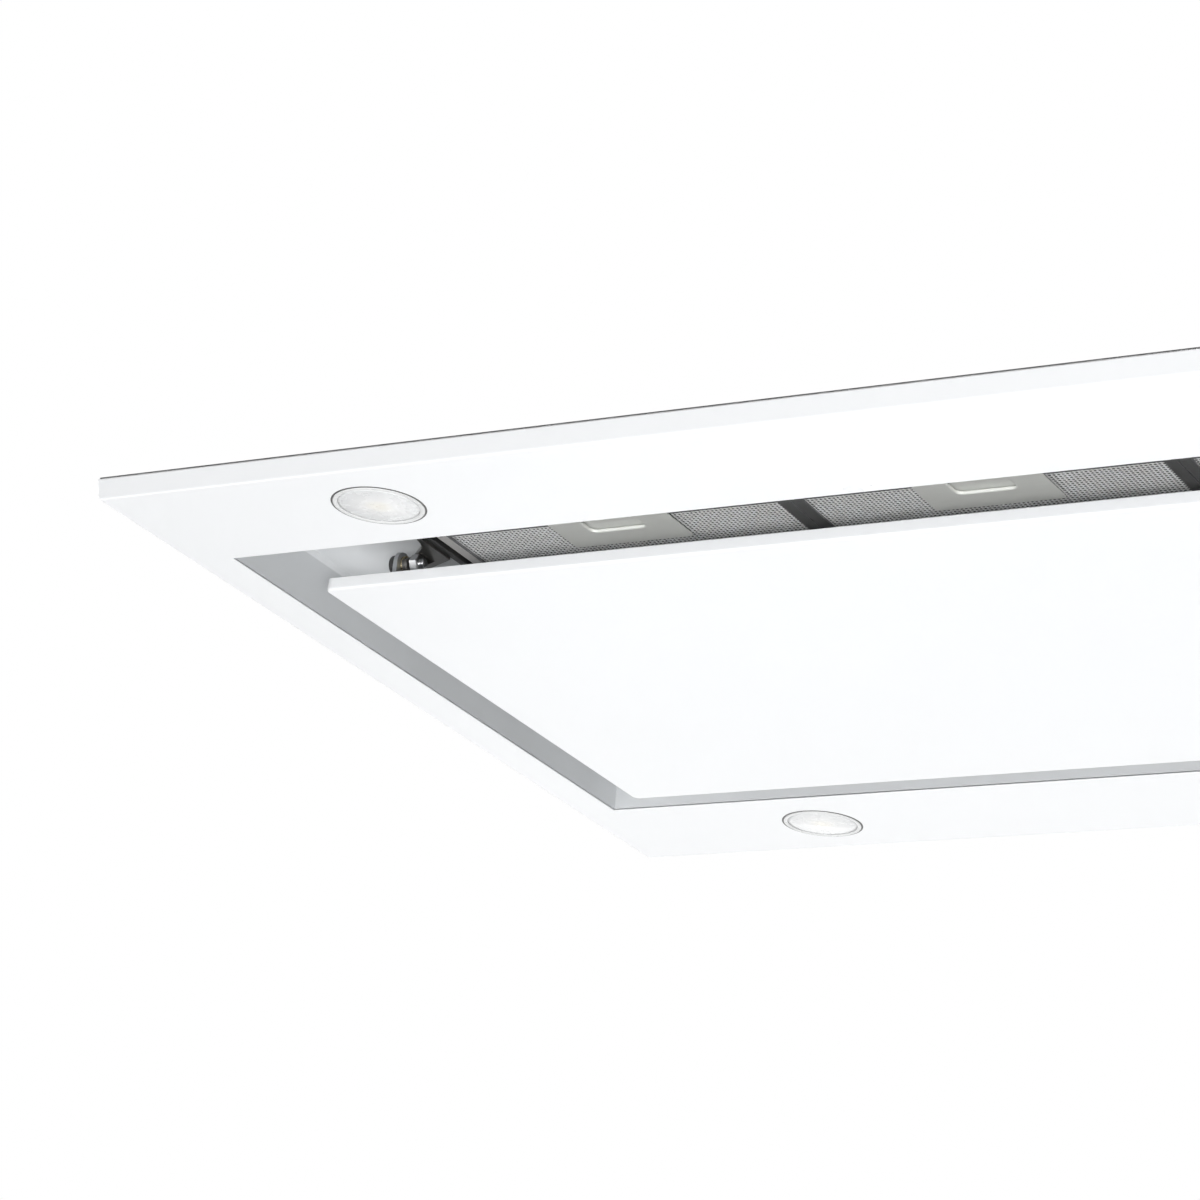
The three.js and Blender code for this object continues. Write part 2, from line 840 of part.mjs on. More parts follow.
function clampScrew() {
  const x0 = boxLength / 2 + gap + 3;
  const at = [0, 0, hangerScrewZ];
  return join(
    rod("x", 3, x0 - 14, x0 + 3, at, 12),
    rod("x", 8, x0 + gap, x0 + gap + 1.6, at, 12),
    rod("x", 6, x0 + 1, x0 + 6, at, 6),
    rod("x", 6, x0 - 13, x0 - 8, at, 6),
  );
}

// ---- Assembly ----
add("trim_frame", trimFrame(), whitePaint);
add("well_liner", wellLiner(), greyPaint);
add("filter_carrier", filterCarrier(), blackPaint);

for (let i = 0; i < filterCount; i++) {
  const x = (i - (filterCount - 1) / 2) * filterPitch;
  add(`filter_${i + 1}_frame`, filterFrame(x), darkAnodised);
  add(`filter_${i + 1}_mesh`, filterMesh(x), meshMetal);
  add(`filter_${i + 1}_plate`, filterPlate(x), satinMetal);
  add(`filter_${i + 1}_latch`, filterLatch(x), satinMetal);
}

add("panel_skin", panelSkin(), whitePaint);
add("panel_cross_rail", panelCrossRail(), galvanised);
for (const [name, place] of [
  ["left", mirrored],
  ["right", (body) => body],
]) {
  add(`panel_rail_${name}`, place(panelRail()), galvanised);
  add(`catch_pin_${name}`, place(panelPin(catchY)), brightSteel);
  add(`hinge_pin_${name}`, place(panelPin(hingeY)), brightSteel);
  add(`catch_clip_${name}`, place(catchClip()), darkSpring);
  add(`hinge_bracket_${name}`, place(hingeBracket()), darkSpring);
}

lampPlaces().forEach((place, i) => {
  add(`lamp_${i + 1}_bezel`, lampBezel(place), whitePlastic);
  add(`lamp_${i + 1}_lens`, lampLens(place), frostedLens);
  add(`lamp_${i + 1}_body`, lampBody(place), castAluminium);
});

add("plenum_box", plenumBox(), galvanised);
add("scroll_housing", scrollHousing(), galvanised);
add("scroll_inlet", scrollInlet(), galvanised);
add("impeller", impeller(), blackPlastic);
add("motor", motor(), castAluminium);
add("motor_mount", motorMount(), galvanised);
add("duct_collar", ductCollar(), greyPlastic);
add("damper_flap_right", damperFlap(1), blackPlastic);
add("damper_flap_left", damperFlap(-1), blackPlastic);

add("control_box", controlBox(), greyPlastic);
add("control_cover", controlCover(), greyPlastic);
add("control_board", controlBoard(), boardGreen);
add("cable_gland", cableGland(), blackPlastic);

hangerPlaces.forEach(([sideX, sideY], i) => {
  const place = (body) => (sideX > 0 ? body : mirrored(body)).translate([0, sideY * hangerY, 0]);
  add(`hanger_${i + 1}`, place(hanger()), galvanised);
  add(`clamp_screw_${i + 1}`, place(clampScrew()), brightSteel);
});

export default hood;
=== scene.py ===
import json
import math
import bmesh
import bpy
from mathutils import Matrix, Vector


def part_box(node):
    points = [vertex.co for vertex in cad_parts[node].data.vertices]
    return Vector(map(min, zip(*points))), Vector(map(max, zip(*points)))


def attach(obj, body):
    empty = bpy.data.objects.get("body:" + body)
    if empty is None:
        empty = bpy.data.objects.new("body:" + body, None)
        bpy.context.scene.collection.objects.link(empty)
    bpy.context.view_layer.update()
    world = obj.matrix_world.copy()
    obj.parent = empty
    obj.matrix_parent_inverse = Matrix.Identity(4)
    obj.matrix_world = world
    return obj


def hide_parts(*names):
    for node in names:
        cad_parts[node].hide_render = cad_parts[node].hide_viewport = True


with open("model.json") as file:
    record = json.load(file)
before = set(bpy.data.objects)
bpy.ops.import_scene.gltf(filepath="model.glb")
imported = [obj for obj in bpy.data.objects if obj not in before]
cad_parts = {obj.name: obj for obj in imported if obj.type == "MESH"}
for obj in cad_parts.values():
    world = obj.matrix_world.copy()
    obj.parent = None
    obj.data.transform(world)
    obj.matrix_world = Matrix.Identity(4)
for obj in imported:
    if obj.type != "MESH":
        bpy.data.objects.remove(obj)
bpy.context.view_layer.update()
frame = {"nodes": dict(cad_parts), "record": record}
nodeBody = {
    node: body
    for body, nodes in frame["record"]["behaviour"]["bodies"].items()
    for node in nodes
}
print("packed hood loaded")

# Camera, floor and light

cameraSettings = {
    "place": (0.95945, -2.16313, -0.90377),
    "turnDegrees": (110.6305, -6.1798, 28.9292),
    "lens": 124.269,
}
roomSettings = {
    "floorHeight": -2.3,
    "floorSize": 14.0,
    "floorColour": (0.86, 0.86, 0.86, 1),
    "floorRoughness": 0.9,
    "worldLight": 0.16,
    "worldColour": (0.97, 0.985, 1, 1),
    "lamps": {
        # place, aims at, width, height, watts; the two low strips shine in under the panel
        "stripRight": ((1.7, -3.7, -1.765), (0, 0, 0), 1.6, 0.5, 140),
        "stripLeft": ((-2.0, -3.5, -1.67), (0, 0, 0), 1.6, 0.5, 22),
        "softBoxBelow": ((-0.3, 0.1, -2.2), (0, 0, 0), 2.6, 2.6, 31),
        "softBoxRear": ((-1.4, 3.4, -1.4), (0, 0, 0), 2.4, 1.6, 8),
        "highLeft": ((-3.2, 0.8, 1.5), (0, 0, 0.1), 1.8, 1.8, 50),
        "highRight": ((3.2, 0.8, 1.5), (0, 0, 0.1), 1.8, 1.8, 50),
        "highRear": ((0.4, 3.4, 1.6), (0, 0, 0.1), 1.8, 1.8, 40),
        "highMiddle": ((0.2, 0.6, 3.2), (0, 0, 0.2), 2.4, 2.4, 50),
    },
    # the ceiling: seen from below only, white, with the hood's hole in it
    "ceilingHole": (0.495, 0.345),
    "ceilingHeight": 0.0004,
}


def newObject(name, data):
    made = bpy.data.objects.new(name, data)
    bpy.context.scene.collection.objects.link(made)
    return made


def newMaterial(name):
    material = bpy.data.materials.new(name)
    material.use_nodes = True
    return material, material.node_tree


def setInputs(tree, node, inputs):
    # each input gets a value, or a link from another node's output
    for socket, value in inputs.items():
        if isinstance(value, bpy.types.NodeSocket):
            tree.links.new(value, node.inputs[socket])
        else:
            node.inputs[socket].default_value = value
    return node


def addNode(tree, kind, inputs=None, **settings):
    node = tree.nodes.new(kind)
    for key, value in settings.items():
        setattr(node, key, value)
    return setInputs(tree, node, inputs or {})


def mathNode(tree, operation, first, second, clamp=False):
    values = {0: first, 1: second}
    return addNode(tree, "ShaderNodeMath", values, operation=operation, use_clamp=clamp).outputs[0]


def vectorOf(tree, **parts):
    return addNode(tree, "ShaderNodeCombineXYZ", parts).outputs[0]


def backgroundRay(tree):
    light = addNode(tree, "ShaderNodeLightPath").outputs
    direct = mathNode(tree, "MAXIMUM", light["Is Camera Ray"], light["Is Glossy Ray"])
    return mathNode(tree, "MAXIMUM", direct, light["Is Transmission Ray"])


def makeWorld():
    world = bpy.data.worlds.new("paleStudio")
    bpy.context.scene.world = world
    world.use_nodes = True
    tree = world.node_tree
    tree.nodes.clear()
    ambient = addNode(tree, "ShaderNodeBackground", {
        "Color": roomSettings["worldColour"], "Strength": roomSettings["worldLight"],
    })
    white = addNode(tree, "ShaderNodeBackground", {"Color": (1, 1, 1, 1), "Strength": 1})
    mix = addNode(tree, "ShaderNodeMixShader", {
        0: backgroundRay(tree), 1: ambient.outputs[0], 2: white.outputs[0],
    })
    addNode(tree, "ShaderNodeOutputWorld", {0: mix.outputs[0]})


def makeCard(name, vertices, faces):
    mesh = bpy.data.meshes.new(name)
    mesh.from_pydata(vertices, [], faces)
    material, tree = newMaterial(name)
    mesh.materials.append(material)
    newObject(name, mesh)
    return tree


def mixForCamera(tree, operation, other, shown):
    # the camera tells a card's front from its back, and every other ray meets the first shader
    camera = addNode(tree, "ShaderNodeLightPath").outputs["Is Camera Ray"]
    back = addNode(tree, "ShaderNodeNewGeometry").outputs["Backfacing"]
    share = mathNode(tree, operation, camera, back, clamp=True)
    mix = addNode(tree, "ShaderNodeMixShader", {0: share, 1: other.outputs[0], 2: shown.outputs[0]})
    tree.links.new(mix.outputs[0], tree.nodes["Material Output"].inputs[0])


def makeFloor():
    half, height = roomSettings["floorSize"] / 2, roomSettings["floorHeight"]
    corners = [(-half, -half, height), (half, -half, height), (half, half, height), (-half, half, height)]
    tree = makeCard("paleFloor", corners, [(0, 1, 2, 3)])
    shader = setInputs(tree, tree.nodes["Principled BSDF"], {
        "Base Color": roomSettings["floorColour"], "Roughness": roomSettings["floorRoughness"],
    })
    mixForCamera(tree, "MULTIPLY", shader, addNode(tree, "ShaderNodeBsdfTransparent"))


def makeCeiling():
    reach, height = roomSettings["floorSize"], roomSettings["ceilingHeight"]
    corners = [(-1, -1), (1, -1), (1, 1), (-1, 1)]
    sizes = ((reach, reach), roomSettings["ceilingHole"])
    vertices = [(x * halfX, y * halfY, height) for halfX, halfY in sizes for x, y in corners]
    tree = makeCard("ceilingCard", vertices, [(i, i + 4, (i + 1) % 4 + 4, (i + 1) % 4) for i in range(4)])
    tree.nodes.remove(tree.nodes["Principled BSDF"])
    white = addNode(tree, "ShaderNodeEmission", {"Color": (1, 1, 1, 1)})
    mixForCamera(tree, "SUBTRACT", addNode(tree, "ShaderNodeBsdfTransparent"), white)


def makeLamps():
    for name, (place, target, width, height, watts) in roomSettings["lamps"].items():
        light = bpy.data.lights.new(name, "AREA")
        light.shape = "RECTANGLE"
        light.size = width
        light.size_y = height
        light.energy = watts
        lamp = newObject(name, light)
        lamp.location = place
        lamp.visible_camera = False
        aim = Vector(target) - Vector(place)
        lamp.rotation_euler = aim.to_track_quat("-Z", "Y").to_euler()


def makeCamera():
    data = bpy.data.cameras.new("photoCamera")
    data.lens = cameraSettings["lens"]
    data.sensor_width = 36
    data.sensor_fit = "HORIZONTAL"
    camera = newObject("photoCamera", data)
    camera.location = cameraSettings["place"]
    camera.rotation_euler = [math.radians(turn) for turn in cameraSettings["turnDegrees"]]
    bpy.context.scene.camera = camera


makeCamera()
makeWorld()
makeFloor()
makeCeiling()
makeLamps()
bpy.context.scene.view_settings.view_transform = "Standard"
print("camera, floor and lights placed")

# Shader groups that several finishes share


def makeGroup(name, output, **inputs):
    tree = bpy.data.node_groups.new(name, "ShaderNodeTree")
    tree.interface.new_socket(name="Vector", in_out="INPUT", socket_type="NodeSocketVector")
    for socketName, value in inputs.items():
        kind = "NodeSocketVector" if isinstance(value, tuple) else "NodeSocketFloat"
        tree.interface.new_socket(name=socketName, in_out="INPUT", socket_type=kind).default_value = value
    tree.interface.new_socket(name=output, in_out="OUTPUT", socket_type="NodeSocketFloat")
    return tree, addNode(tree, "NodeGroupInput").outputs


def closeGroup(tree, result):
    addNode(tree, "NodeGroupOutput", {0: result})
    return tree


def noiseOf(tree, vector, scale, detail, roughness=0.5):
    return addNode(tree, "ShaderNodeTexNoise", {
        "Vector": vector, "Scale": scale, "Detail": detail, "Roughness": roughness,
    }).outputs


def mapRange(tree, value, limits, **settings):
    return addNode(tree, "ShaderNodeMapRange", {"Value": value, **limits}, **settings).outputs[0]


def makeGrainGroup():
    # Fine noise with coarser noise in it, for paint texture, cast skin and moulded grain
    tree, given = makeGroup("fineGrain", "Height", Scale=900.0, Roughness=0.5)
    return closeGroup(tree, noiseOf(tree, given["Vector"], given["Scale"], 3, given["Roughness"])[0])


def makeBlotchGroup():
    # Slow variation over the surface: handling, faint soil and uneven batches
    tree, given = makeGroup("softBlotches", "Mask", Scale=9.0, Sharpness=0.35)
    noise = noiseOf(tree, given["Vector"], given["Scale"], 5, 0.55)[0]
    limits = {
        "From Min": mathNode(tree, "MULTIPLY", given["Sharpness"], 0.6),
        "From Max": mathNode(tree, "SUBTRACT", 1.05, given["Sharpness"]),
    }
    return closeGroup(tree, mapRange(tree, noise, limits, interpolation_type="SMOOTHSTEP"))


def makeBrushGroup():
    # Long fine scratches along one direction
    tree, given = makeGroup("brushLines", "Mask", Stretch=(12.0, 1400.0, 1400.0))
    places = {0: given["Vector"], 1: given["Stretch"]}
    stretch = addNode(tree, "ShaderNodeVectorMath", places, operation="MULTIPLY")
    return closeGroup(tree, noiseOf(tree, stretch.outputs[0], 1, 4, 0.65)[0])


def makeWearGroup():
    # White where an outer edge is rubbed, broken up by noise
    tree, given = makeGroup("rubbedEdges", "Mask", Radius=0.0012, Breakup=160.0)
    bend = addNode(tree, "ShaderNodeVectorMath", {
        0: addNode(tree, "ShaderNodeNewGeometry").outputs["Normal"],
        1: addNode(tree, "ShaderNodeBevel", {"Radius": given["Radius"]}, samples=4).outputs[0],
    }, operation="DOT_PRODUCT")
    amount = mapRange(tree, bend.outputs["Value"], {"From Min": 0.985, "From Max": 0.86})
    noise = noiseOf(tree, given["Vector"], given["Breakup"], 4)[0]
    breakup = mapRange(tree, noise, {"From Min": 0.42, "From Max": 0.62})
    return closeGroup(tree, mathNode(tree, "MULTIPLY", amount, breakup))


def makeSpangleGroup():
    # Zinc crystals: flat cells with a tone of their own
    tree, given = makeGroup("zincSpangle", "Tone", Scale=110.0)
    warp = noiseOf(tree, given["Vector"], 60, 2)["Color"]
    places = {0: warp, 1: (0.006, 0.006, 0.006), 2: given["Vector"]}
    shift = addNode(tree, "ShaderNodeVectorMath", places, operation="MULTIPLY_ADD")
    cells = addNode(tree, "ShaderNodeTexVoronoi", {"Vector": shift.outputs[0], "Scale": given["Scale"]})
    tone = addNode(tree, "ShaderNodeSeparateColor", {0: cells.outputs["Color"]})
    return closeGroup(tree, tone.outputs[0])


shaderGroups = {
    "grain": makeGrainGroup(),
    "blotch": makeBlotchGroup(),
    "brush": makeBrushGroup(),
    "wear": makeWearGroup(),
    "spangle": makeSpangleGroup(),
}
print("shader groups built")

# Finishes. Colours are linear. "soil" is the colour that the slow blotches pull towards, and their scale;
# "brush" and "grain" are a stretch or scale and a depth, and "wear" is an amount and the colour below

finishes = {
    "whiteEnamel": {
        "colour": (0.765, 0.775, 0.785), "soil": ((0.757, 0.767, 0.777), 5), "roughness": (0.27, 0.3),
        "grain": (420, 0.00001),
    },
    "wellPaint": {
        "colour": (0.61, 0.626, 0.638), "soil": ((0.57, 0.584, 0.595), 8), "roughness": (0.38, 0.5),
        "grain": (700, 0.00003), "wear": (0.2, (0.62, 0.63, 0.64)),
    },
    "carrierBlack": {
        "colour": (0.02, 0.02, 0.022), "soil": ((0.035, 0.034, 0.032), 30), "roughness": (0.32, 0.5),
        "grain": (900, 0.00005), "wear": (0.5, (0.16, 0.16, 0.16)),
    },
    "channelAnodised": {
        "colour": (0.3, 0.3, 0.302), "soil": ((0.2, 0.2, 0.2), 24), "roughness": (0.26, 0.42),
        "metallic": 0.5, "brush": ((1100, 14, 1100), 0.00002), "wear": (0.5, (0.55, 0.55, 0.56)),
    },
    "weaveWire": {
        "colour": (0.96, 0.965, 0.98), "soil": ((0.88, 0.87, 0.86), 60), "roughness": (0.26, 0.42),
        "metallic": 0.1, "grain": (1500, 0.00002),
    },
    # a real foil layer; its dark colour is painted shade deep in the gaps between the wires
    "crimpedFoil": {
        "colour": (0.2, 0.2, 0.203), "soil": ((0.12, 0.117, 0.114), 45), "roughness": (0.4, 0.6),
        "metallic": 0.5, "grain": (800, 0.0001),
    },
    "handleSatin": {
        "colour": (0.9, 0.91, 0.875), "soil": ((0.85, 0.86, 0.82), 26), "roughness": (0.36, 0.5),
        "metallic": 0.12, "brush": ((16, 1600, 1600), 0.000012), "wear": (0.5, (0.93, 0.93, 0.9)),
    },
    # painted sheen: pale strips that stand for light reflected by the end channels
    "paintedSheenSatin": {
        "colour": (0.78, 0.76, 0.74), "soil": ((0.7, 0.68, 0.66), 30), "roughness": (0.34, 0.5),
        "metallic": 0.3, "brush": ((1600, 16, 1600), 0.00001), "wear": (0.4, (0.85, 0.84, 0.82)),
    },
    "springSteel": {
        "colour": (0.13, 0.13, 0.125), "soil": ((0.09, 0.088, 0.082), 40), "roughness": (0.28, 0.46),
        "metallic": 0.6, "brush": ((1200, 1200, 30), 0.00002), "wear": (0.7, (0.4, 0.34, 0.28)),
    },
    "platedSteel": {
        "colour": (0.72, 0.73, 0.75), "soil": ((0.58, 0.58, 0.58), 50), "roughness": (0.24, 0.38),
        "metallic": 1.0, "brush": ((40, 1500, 1500), 0.00001),
    },
    "zincSheet": {
        "colour": (0.5, 0.52, 0.54), "soil": ((0.4, 0.41, 0.42), 10), "roughness": (0.34, 0.55),
        "metallic": 0.85, "spangle": 0.3, "grain": (500, 0.00004), "wear": (0.4, (0.7, 0.7, 0.7)),
    },
    "mouldedGrey": {
        "colour": (0.27, 0.28, 0.3), "soil": ((0.235, 0.24, 0.255), 18), "roughness": (0.48, 0.62),
        "grain": (1300, 0.00007), "wear": (0.3, (0.42, 0.43, 0.45)),
    },
    "mouldedBlack": {
        "colour": (0.022, 0.022, 0.025), "soil": ((0.04, 0.039, 0.038), 22), "roughness": (0.4, 0.58),
        "grain": (1300, 0.00006), "wear": (0.3, (0.09, 0.09, 0.095)),
    },
    "bezelWhite": {
        "colour": (0.66, 0.668, 0.67), "soil": ((0.61, 0.615, 0.615), 60), "roughness": (0.2, 0.32),
        "coat": 0.3, "coatRoughness": 0.1, "grain": (900, 0.00001),
    },
    # painted shadow: the dark band round each bezel on the trim's underside
    "bezelShadowBand": {
        "colour": (0.12, 0.118, 0.118), "soil": ((0.08, 0.078, 0.078), 80), "roughness": (0.35, 0.5),
        "metallic": 0.4, "brush": ((1500, 1500, 60), 0.00001),
    },
    "castAlloy": {
        "colour": (0.42, 0.43, 0.44), "soil": ((0.33, 0.33, 0.33), 35), "roughness": (0.45, 0.65),
        "metallic": 0.8, "grain": (650, 0.00018), "wear": (0.5, (0.62, 0.63, 0.64)),
    },
    "boardGreen": {
        "colour": (0.03, 0.12, 0.055), "soil": ((0.02, 0.085, 0.04), 120), "roughness": (0.25, 0.4),
        "grain": (1200, 0.00003), "wear": (0.2, (0.3, 0.32, 0.2)),
    },
    "sealFoam": {
        "colour": (0.52, 0.52, 0.525), "soil": ((0.62, 0.62, 0.62), 90), "roughness": (0.75, 0.92),
        "grain": (1800, 0.0002),
    },
    "passivatedZinc": {
        "colour": (0.56, 0.47, 0.3), "soil": ((0.42, 0.36, 0.24), 70), "roughness": (0.2, 0.34),
        "metallic": 0.9, "brush": ((40, 1500, 1500), 0.00001),
    },
}


def placeGroup(tree, key, vector, **values):
    group = shaderGroups[key]
    return addNode(tree, "ShaderNodeGroup", {"Vector": vector, **values}, node_tree=group).outputs[0]


def mixColours(tree, factor, first, second):
    first, second = ((*side, 1) if isinstance(side, tuple) else side for side in (first, second))
    mix = addNode(tree, "ShaderNodeMix", {"Factor": factor, 6: first, 7: second}, data_type="RGBA")
    return mix.outputs[2]


def mapRoughness(tree, value, limits):
    return mapRange(tree, value, {"To Min": limits[0], "To Max": limits[1]})


def bumpOf(tree, height, depth):
    return addNode(tree, "ShaderNodeBump", {"Distance": depth, "Height": height}).outputs[0]


def makeFinish(name, look):
    material, tree = newMaterial(name)
    vector = addNode(tree, "ShaderNodeTexCoord").outputs["Object"]
    soil, soilScale = look["soil"]
    blotch = placeGroup(tree, "blotch", vector, Scale=soilScale)
    colour = mixColours(tree, blotch, look["colour"], soil)
    if "spangle" in look:
        tone = mathNode(tree, "MULTIPLY", placeGroup(tree, "spangle", vector), look["spangle"])
        bright = tuple(min(1, part * 1.25) for part in look["colour"])
        colour = mixColours(tree, tone, colour, bright)
    if "brush" in look:
        stretch, depth = look["brush"]
        shine = height = placeGroup(tree, "brush", vector, Stretch=stretch)
        darker = tuple(part * 0.78 for part in look["colour"])
        colour = mixColours(tree, mathNode(tree, "MULTIPLY", height, 0.35), colour, darker)
    else:
        scale, depth = look["grain"]
        shine, height = blotch, placeGroup(tree, "grain", vector, Scale=scale)
    if "wear" in look:
        amount, bare = look["wear"]
        wear = mathNode(tree, "MULTIPLY", placeGroup(tree, "wear", vector), amount)
        colour = mixColours(tree, wear, colour, bare)
    setInputs(tree, tree.nodes["Principled BSDF"], {
        "Base Color": colour,
        "Roughness": mapRoughness(tree, shine, look["roughness"]),
        "Normal": bumpOf(tree, height, depth),
        "Metallic": look.get("metallic", 0),
        "Coat Weight": look.get("coat", 0),
        "Coat Roughness": look.get("coatRoughness", 0.03),
    })
    return material


materials = {name: makeFinish(name, look) for name, look in finishes.items()}

lensLook = {
    "rings": [
        # distance from the centre, and colour: the LED seen through the frosted glass at the middle,
        # painted reflections in the grey rings, painted shade at the rim
        (0.0, (0.78, 0.76, 0.69)),
        (0.2, (0.77, 0.76, 0.72)),
        (0.38, (0.73, 0.735, 0.73)),
        (0.7, (0.66, 0.668, 0.672)),
        (0.92, (0.63, 0.64, 0.645)),
        (1.0, (0.48, 0.485, 0.49)),
    ],
    "roughness": (0.16, 0.34), "soilScale": 70.0, "coat": 0.6,
    "grainScale": 1100.0, "grainDepth": 0.00004,
}


def makeLensMaterial():
    material, tree = newMaterial("frostedLens")
    coordinates = addNode(tree, "ShaderNodeTexCoord").outputs
    distance = addNode(tree, "ShaderNodeVectorMath", {0: coordinates["UV"]}, operation="LENGTH")
    # the ramp paints the lens's reflections and the shade at its rim as colour rings
    ramp = addNode(tree, "ShaderNodeValToRGB", {0: distance.outputs["Value"]})
    stops = ramp.color_ramp.elements
    while len(stops) < len(lensLook["rings"]):
        stops.new(0.5)
    for stop, (place, colour) in zip(stops, lensLook["rings"]):
        stop.position = place
        stop.color = (*colour, 1)
    grain = placeGroup(tree, "grain", coordinates["Object"], Scale=lensLook["grainScale"])
    blotch = placeGroup(tree, "blotch", coordinates["Object"], Scale=lensLook["soilScale"])
    setInputs(tree, tree.nodes["Principled BSDF"], {
        "Base Color": ramp.outputs[0],
        "Roughness": mapRoughness(tree, blotch, lensLook["roughness"]),
        "Normal": bumpOf(tree, grain, lensLook["grainDepth"]),
        "Coat Weight": lensLook["coat"],
    })
    return material


materials["frostedLens"] = makeLensMaterial()
print("finishes made:", len(materials))

# Mesh helpers


def camelCase(node):
    first, *rest = node.split("_")
    return first + "".join(part.capitalize() for part in rest)


def meshFrom(name, vertices, faces):
    mesh = bpy.data.meshes.new(name)
    mesh.from_pydata([tuple(vertex) for vertex in vertices], [], faces)
    build = bmesh.new()
    build.from_mesh(mesh)
    bmesh.ops.remove_doubles(build, verts=build.verts, dist=1e-6)
    bmesh.ops.recalc_face_normals(build, faces=build.faces)
    build.to_mesh(mesh)
    build.free()
    return mesh


def bakeMesh(made):
    view = bpy.context.evaluated_depsgraph_get()
    mesh = bpy.data.meshes.new_from_object(made.evaluated_get(view), depsgraph=view)
    made.modifiers.clear()
    made.data = mesh
    return made


def applyModifiers(made):
    made.data.shade_smooth()
    return bakeMesh(made)


def evenShading(made):
    weighted = made.modifiers.new("evenShading", "WEIGHTED_NORMAL")
    weighted.weight = 80
    return applyModifiers(made)


def finishPiece(made, finish, body, slot, *nodes):
    made.data.materials.clear()
    made.data.materials.append(materials[finish])
    for face in made.data.polygons:
        face.material_index = 0
    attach(made, body)
    if nodes:
        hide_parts(*nodes)


def shadedPiece(name, mesh, finish, body, slot, *nodes):
    finishPiece(evenShading(newObject(name, mesh)), finish, body, slot, *nodes)


def middleOf(low, high):
    return tuple((low[axis] + high[axis]) / 2 for axis in range(3))


def roundedRing(halfX, halfY, height, corner, steps, middle=(0, 0)):
    points = []
    centres = [(1, -1, -90), (1, 1, 0), (-1, 1, 90), (-1, -1, 180)]
    for sideX, sideY, start in centres:
        for step in range(steps + 1):
            turn = math.radians(start + 90 * step / steps)
            points.append((
                middle[0] + sideX * (halfX - corner) + corner * math.cos(turn),
                middle[1] + sideY * (halfY - corner) + corner * math.sin(turn),
                height,
            ))
    return points


def loft(name, rings, closed=False):
    # joins the rings in order; unless the last meets the first again, both ends are capped
    count = len(rings[0])
    vertices = [point for ring in rings for point in ring]
    faces = []
    for band in range(len(rings) if closed else len(rings) - 1):
        low = band * count
        high = ((band + 1) % len(rings)) * count
        for i in range(count):
            j = (i + 1) % count
            faces.append((low + i, low + j, high + j, high + i))
    if not closed:
        faces.append(tuple(range(count)))
        faces.append(tuple(range((len(rings) - 1) * count, len(rings) * count)))
    return meshFrom(name, vertices, faces)


def circle(centre, radius, height, sides):
    points = []
    for i in range(sides):
        turn = 2 * math.pi * i / sides
        points.append((centre[0] + radius * math.cos(turn), centre[1] + radius * math.sin(turn), height))
    return points


def turnedMesh(name, profile, centre, sides=72):
    return loft(name, [circle(centre, radius, height, sides) for radius, height in profile], closed=True)


def filletPoints(centre, radius, start, end, steps):
    turns = [math.radians(start + (end - start) * i / steps) for i in range(steps + 1)]
    return [(centre[0] + radius * math.cos(turn), centre[1] + radius * math.sin(turn)) for turn in turns]


def cutWith(made, cutters):
    for cutter in cutters:
        cut = made.modifiers.new("cut", "BOOLEAN")
        cut.operation = "DIFFERENCE"
        cut.solver = "EXACT"
        cut.object = cutter
    applyModifiers(made)
    for cutter in cutters:
        bpy.data.objects.remove(cutter)


def runTree(name, tree, values, place=(0, 0, 0), points=()):
    start = bpy.data.meshes.new(name)
    start.from_pydata([tuple(point) for point in points], [], [])
    made = newObject(name, start)
    modifier = made.modifiers.new("nodes", "NODES")
    modifier.node_group = tree
    for socket in tree.interface.items_tree:
        if socket.in_out == "INPUT" and socket.name in values:
            modifier[socket.identifier] = values[socket.name]
    bakeMesh(made).data.transform(Matrix.Translation(place))
    return made


# Trim frame: folded white sheet with a pale foam seal round its top

trimLook = {
    "sheet": 0.0015, "foldRadius": 0.0012, "cornerRadius": 0.0015, "draft": 0.002, "lipWidth": 0.015,
    "opening": (0.47, 0.245), "openingEdge": 0.0005, "openingCorner": 0.0006, "lampHole": 0.0262,
    "sealThickness": 0.0009, "sealInsets": (0.0009, 0.013), "sealCorner": 0.001, "cornerSteps": 4,
}


def lampCentres():
    return [middleOf(*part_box(f"lamp_{number}_bezel")) for number in (1, 2, 3, 4)]


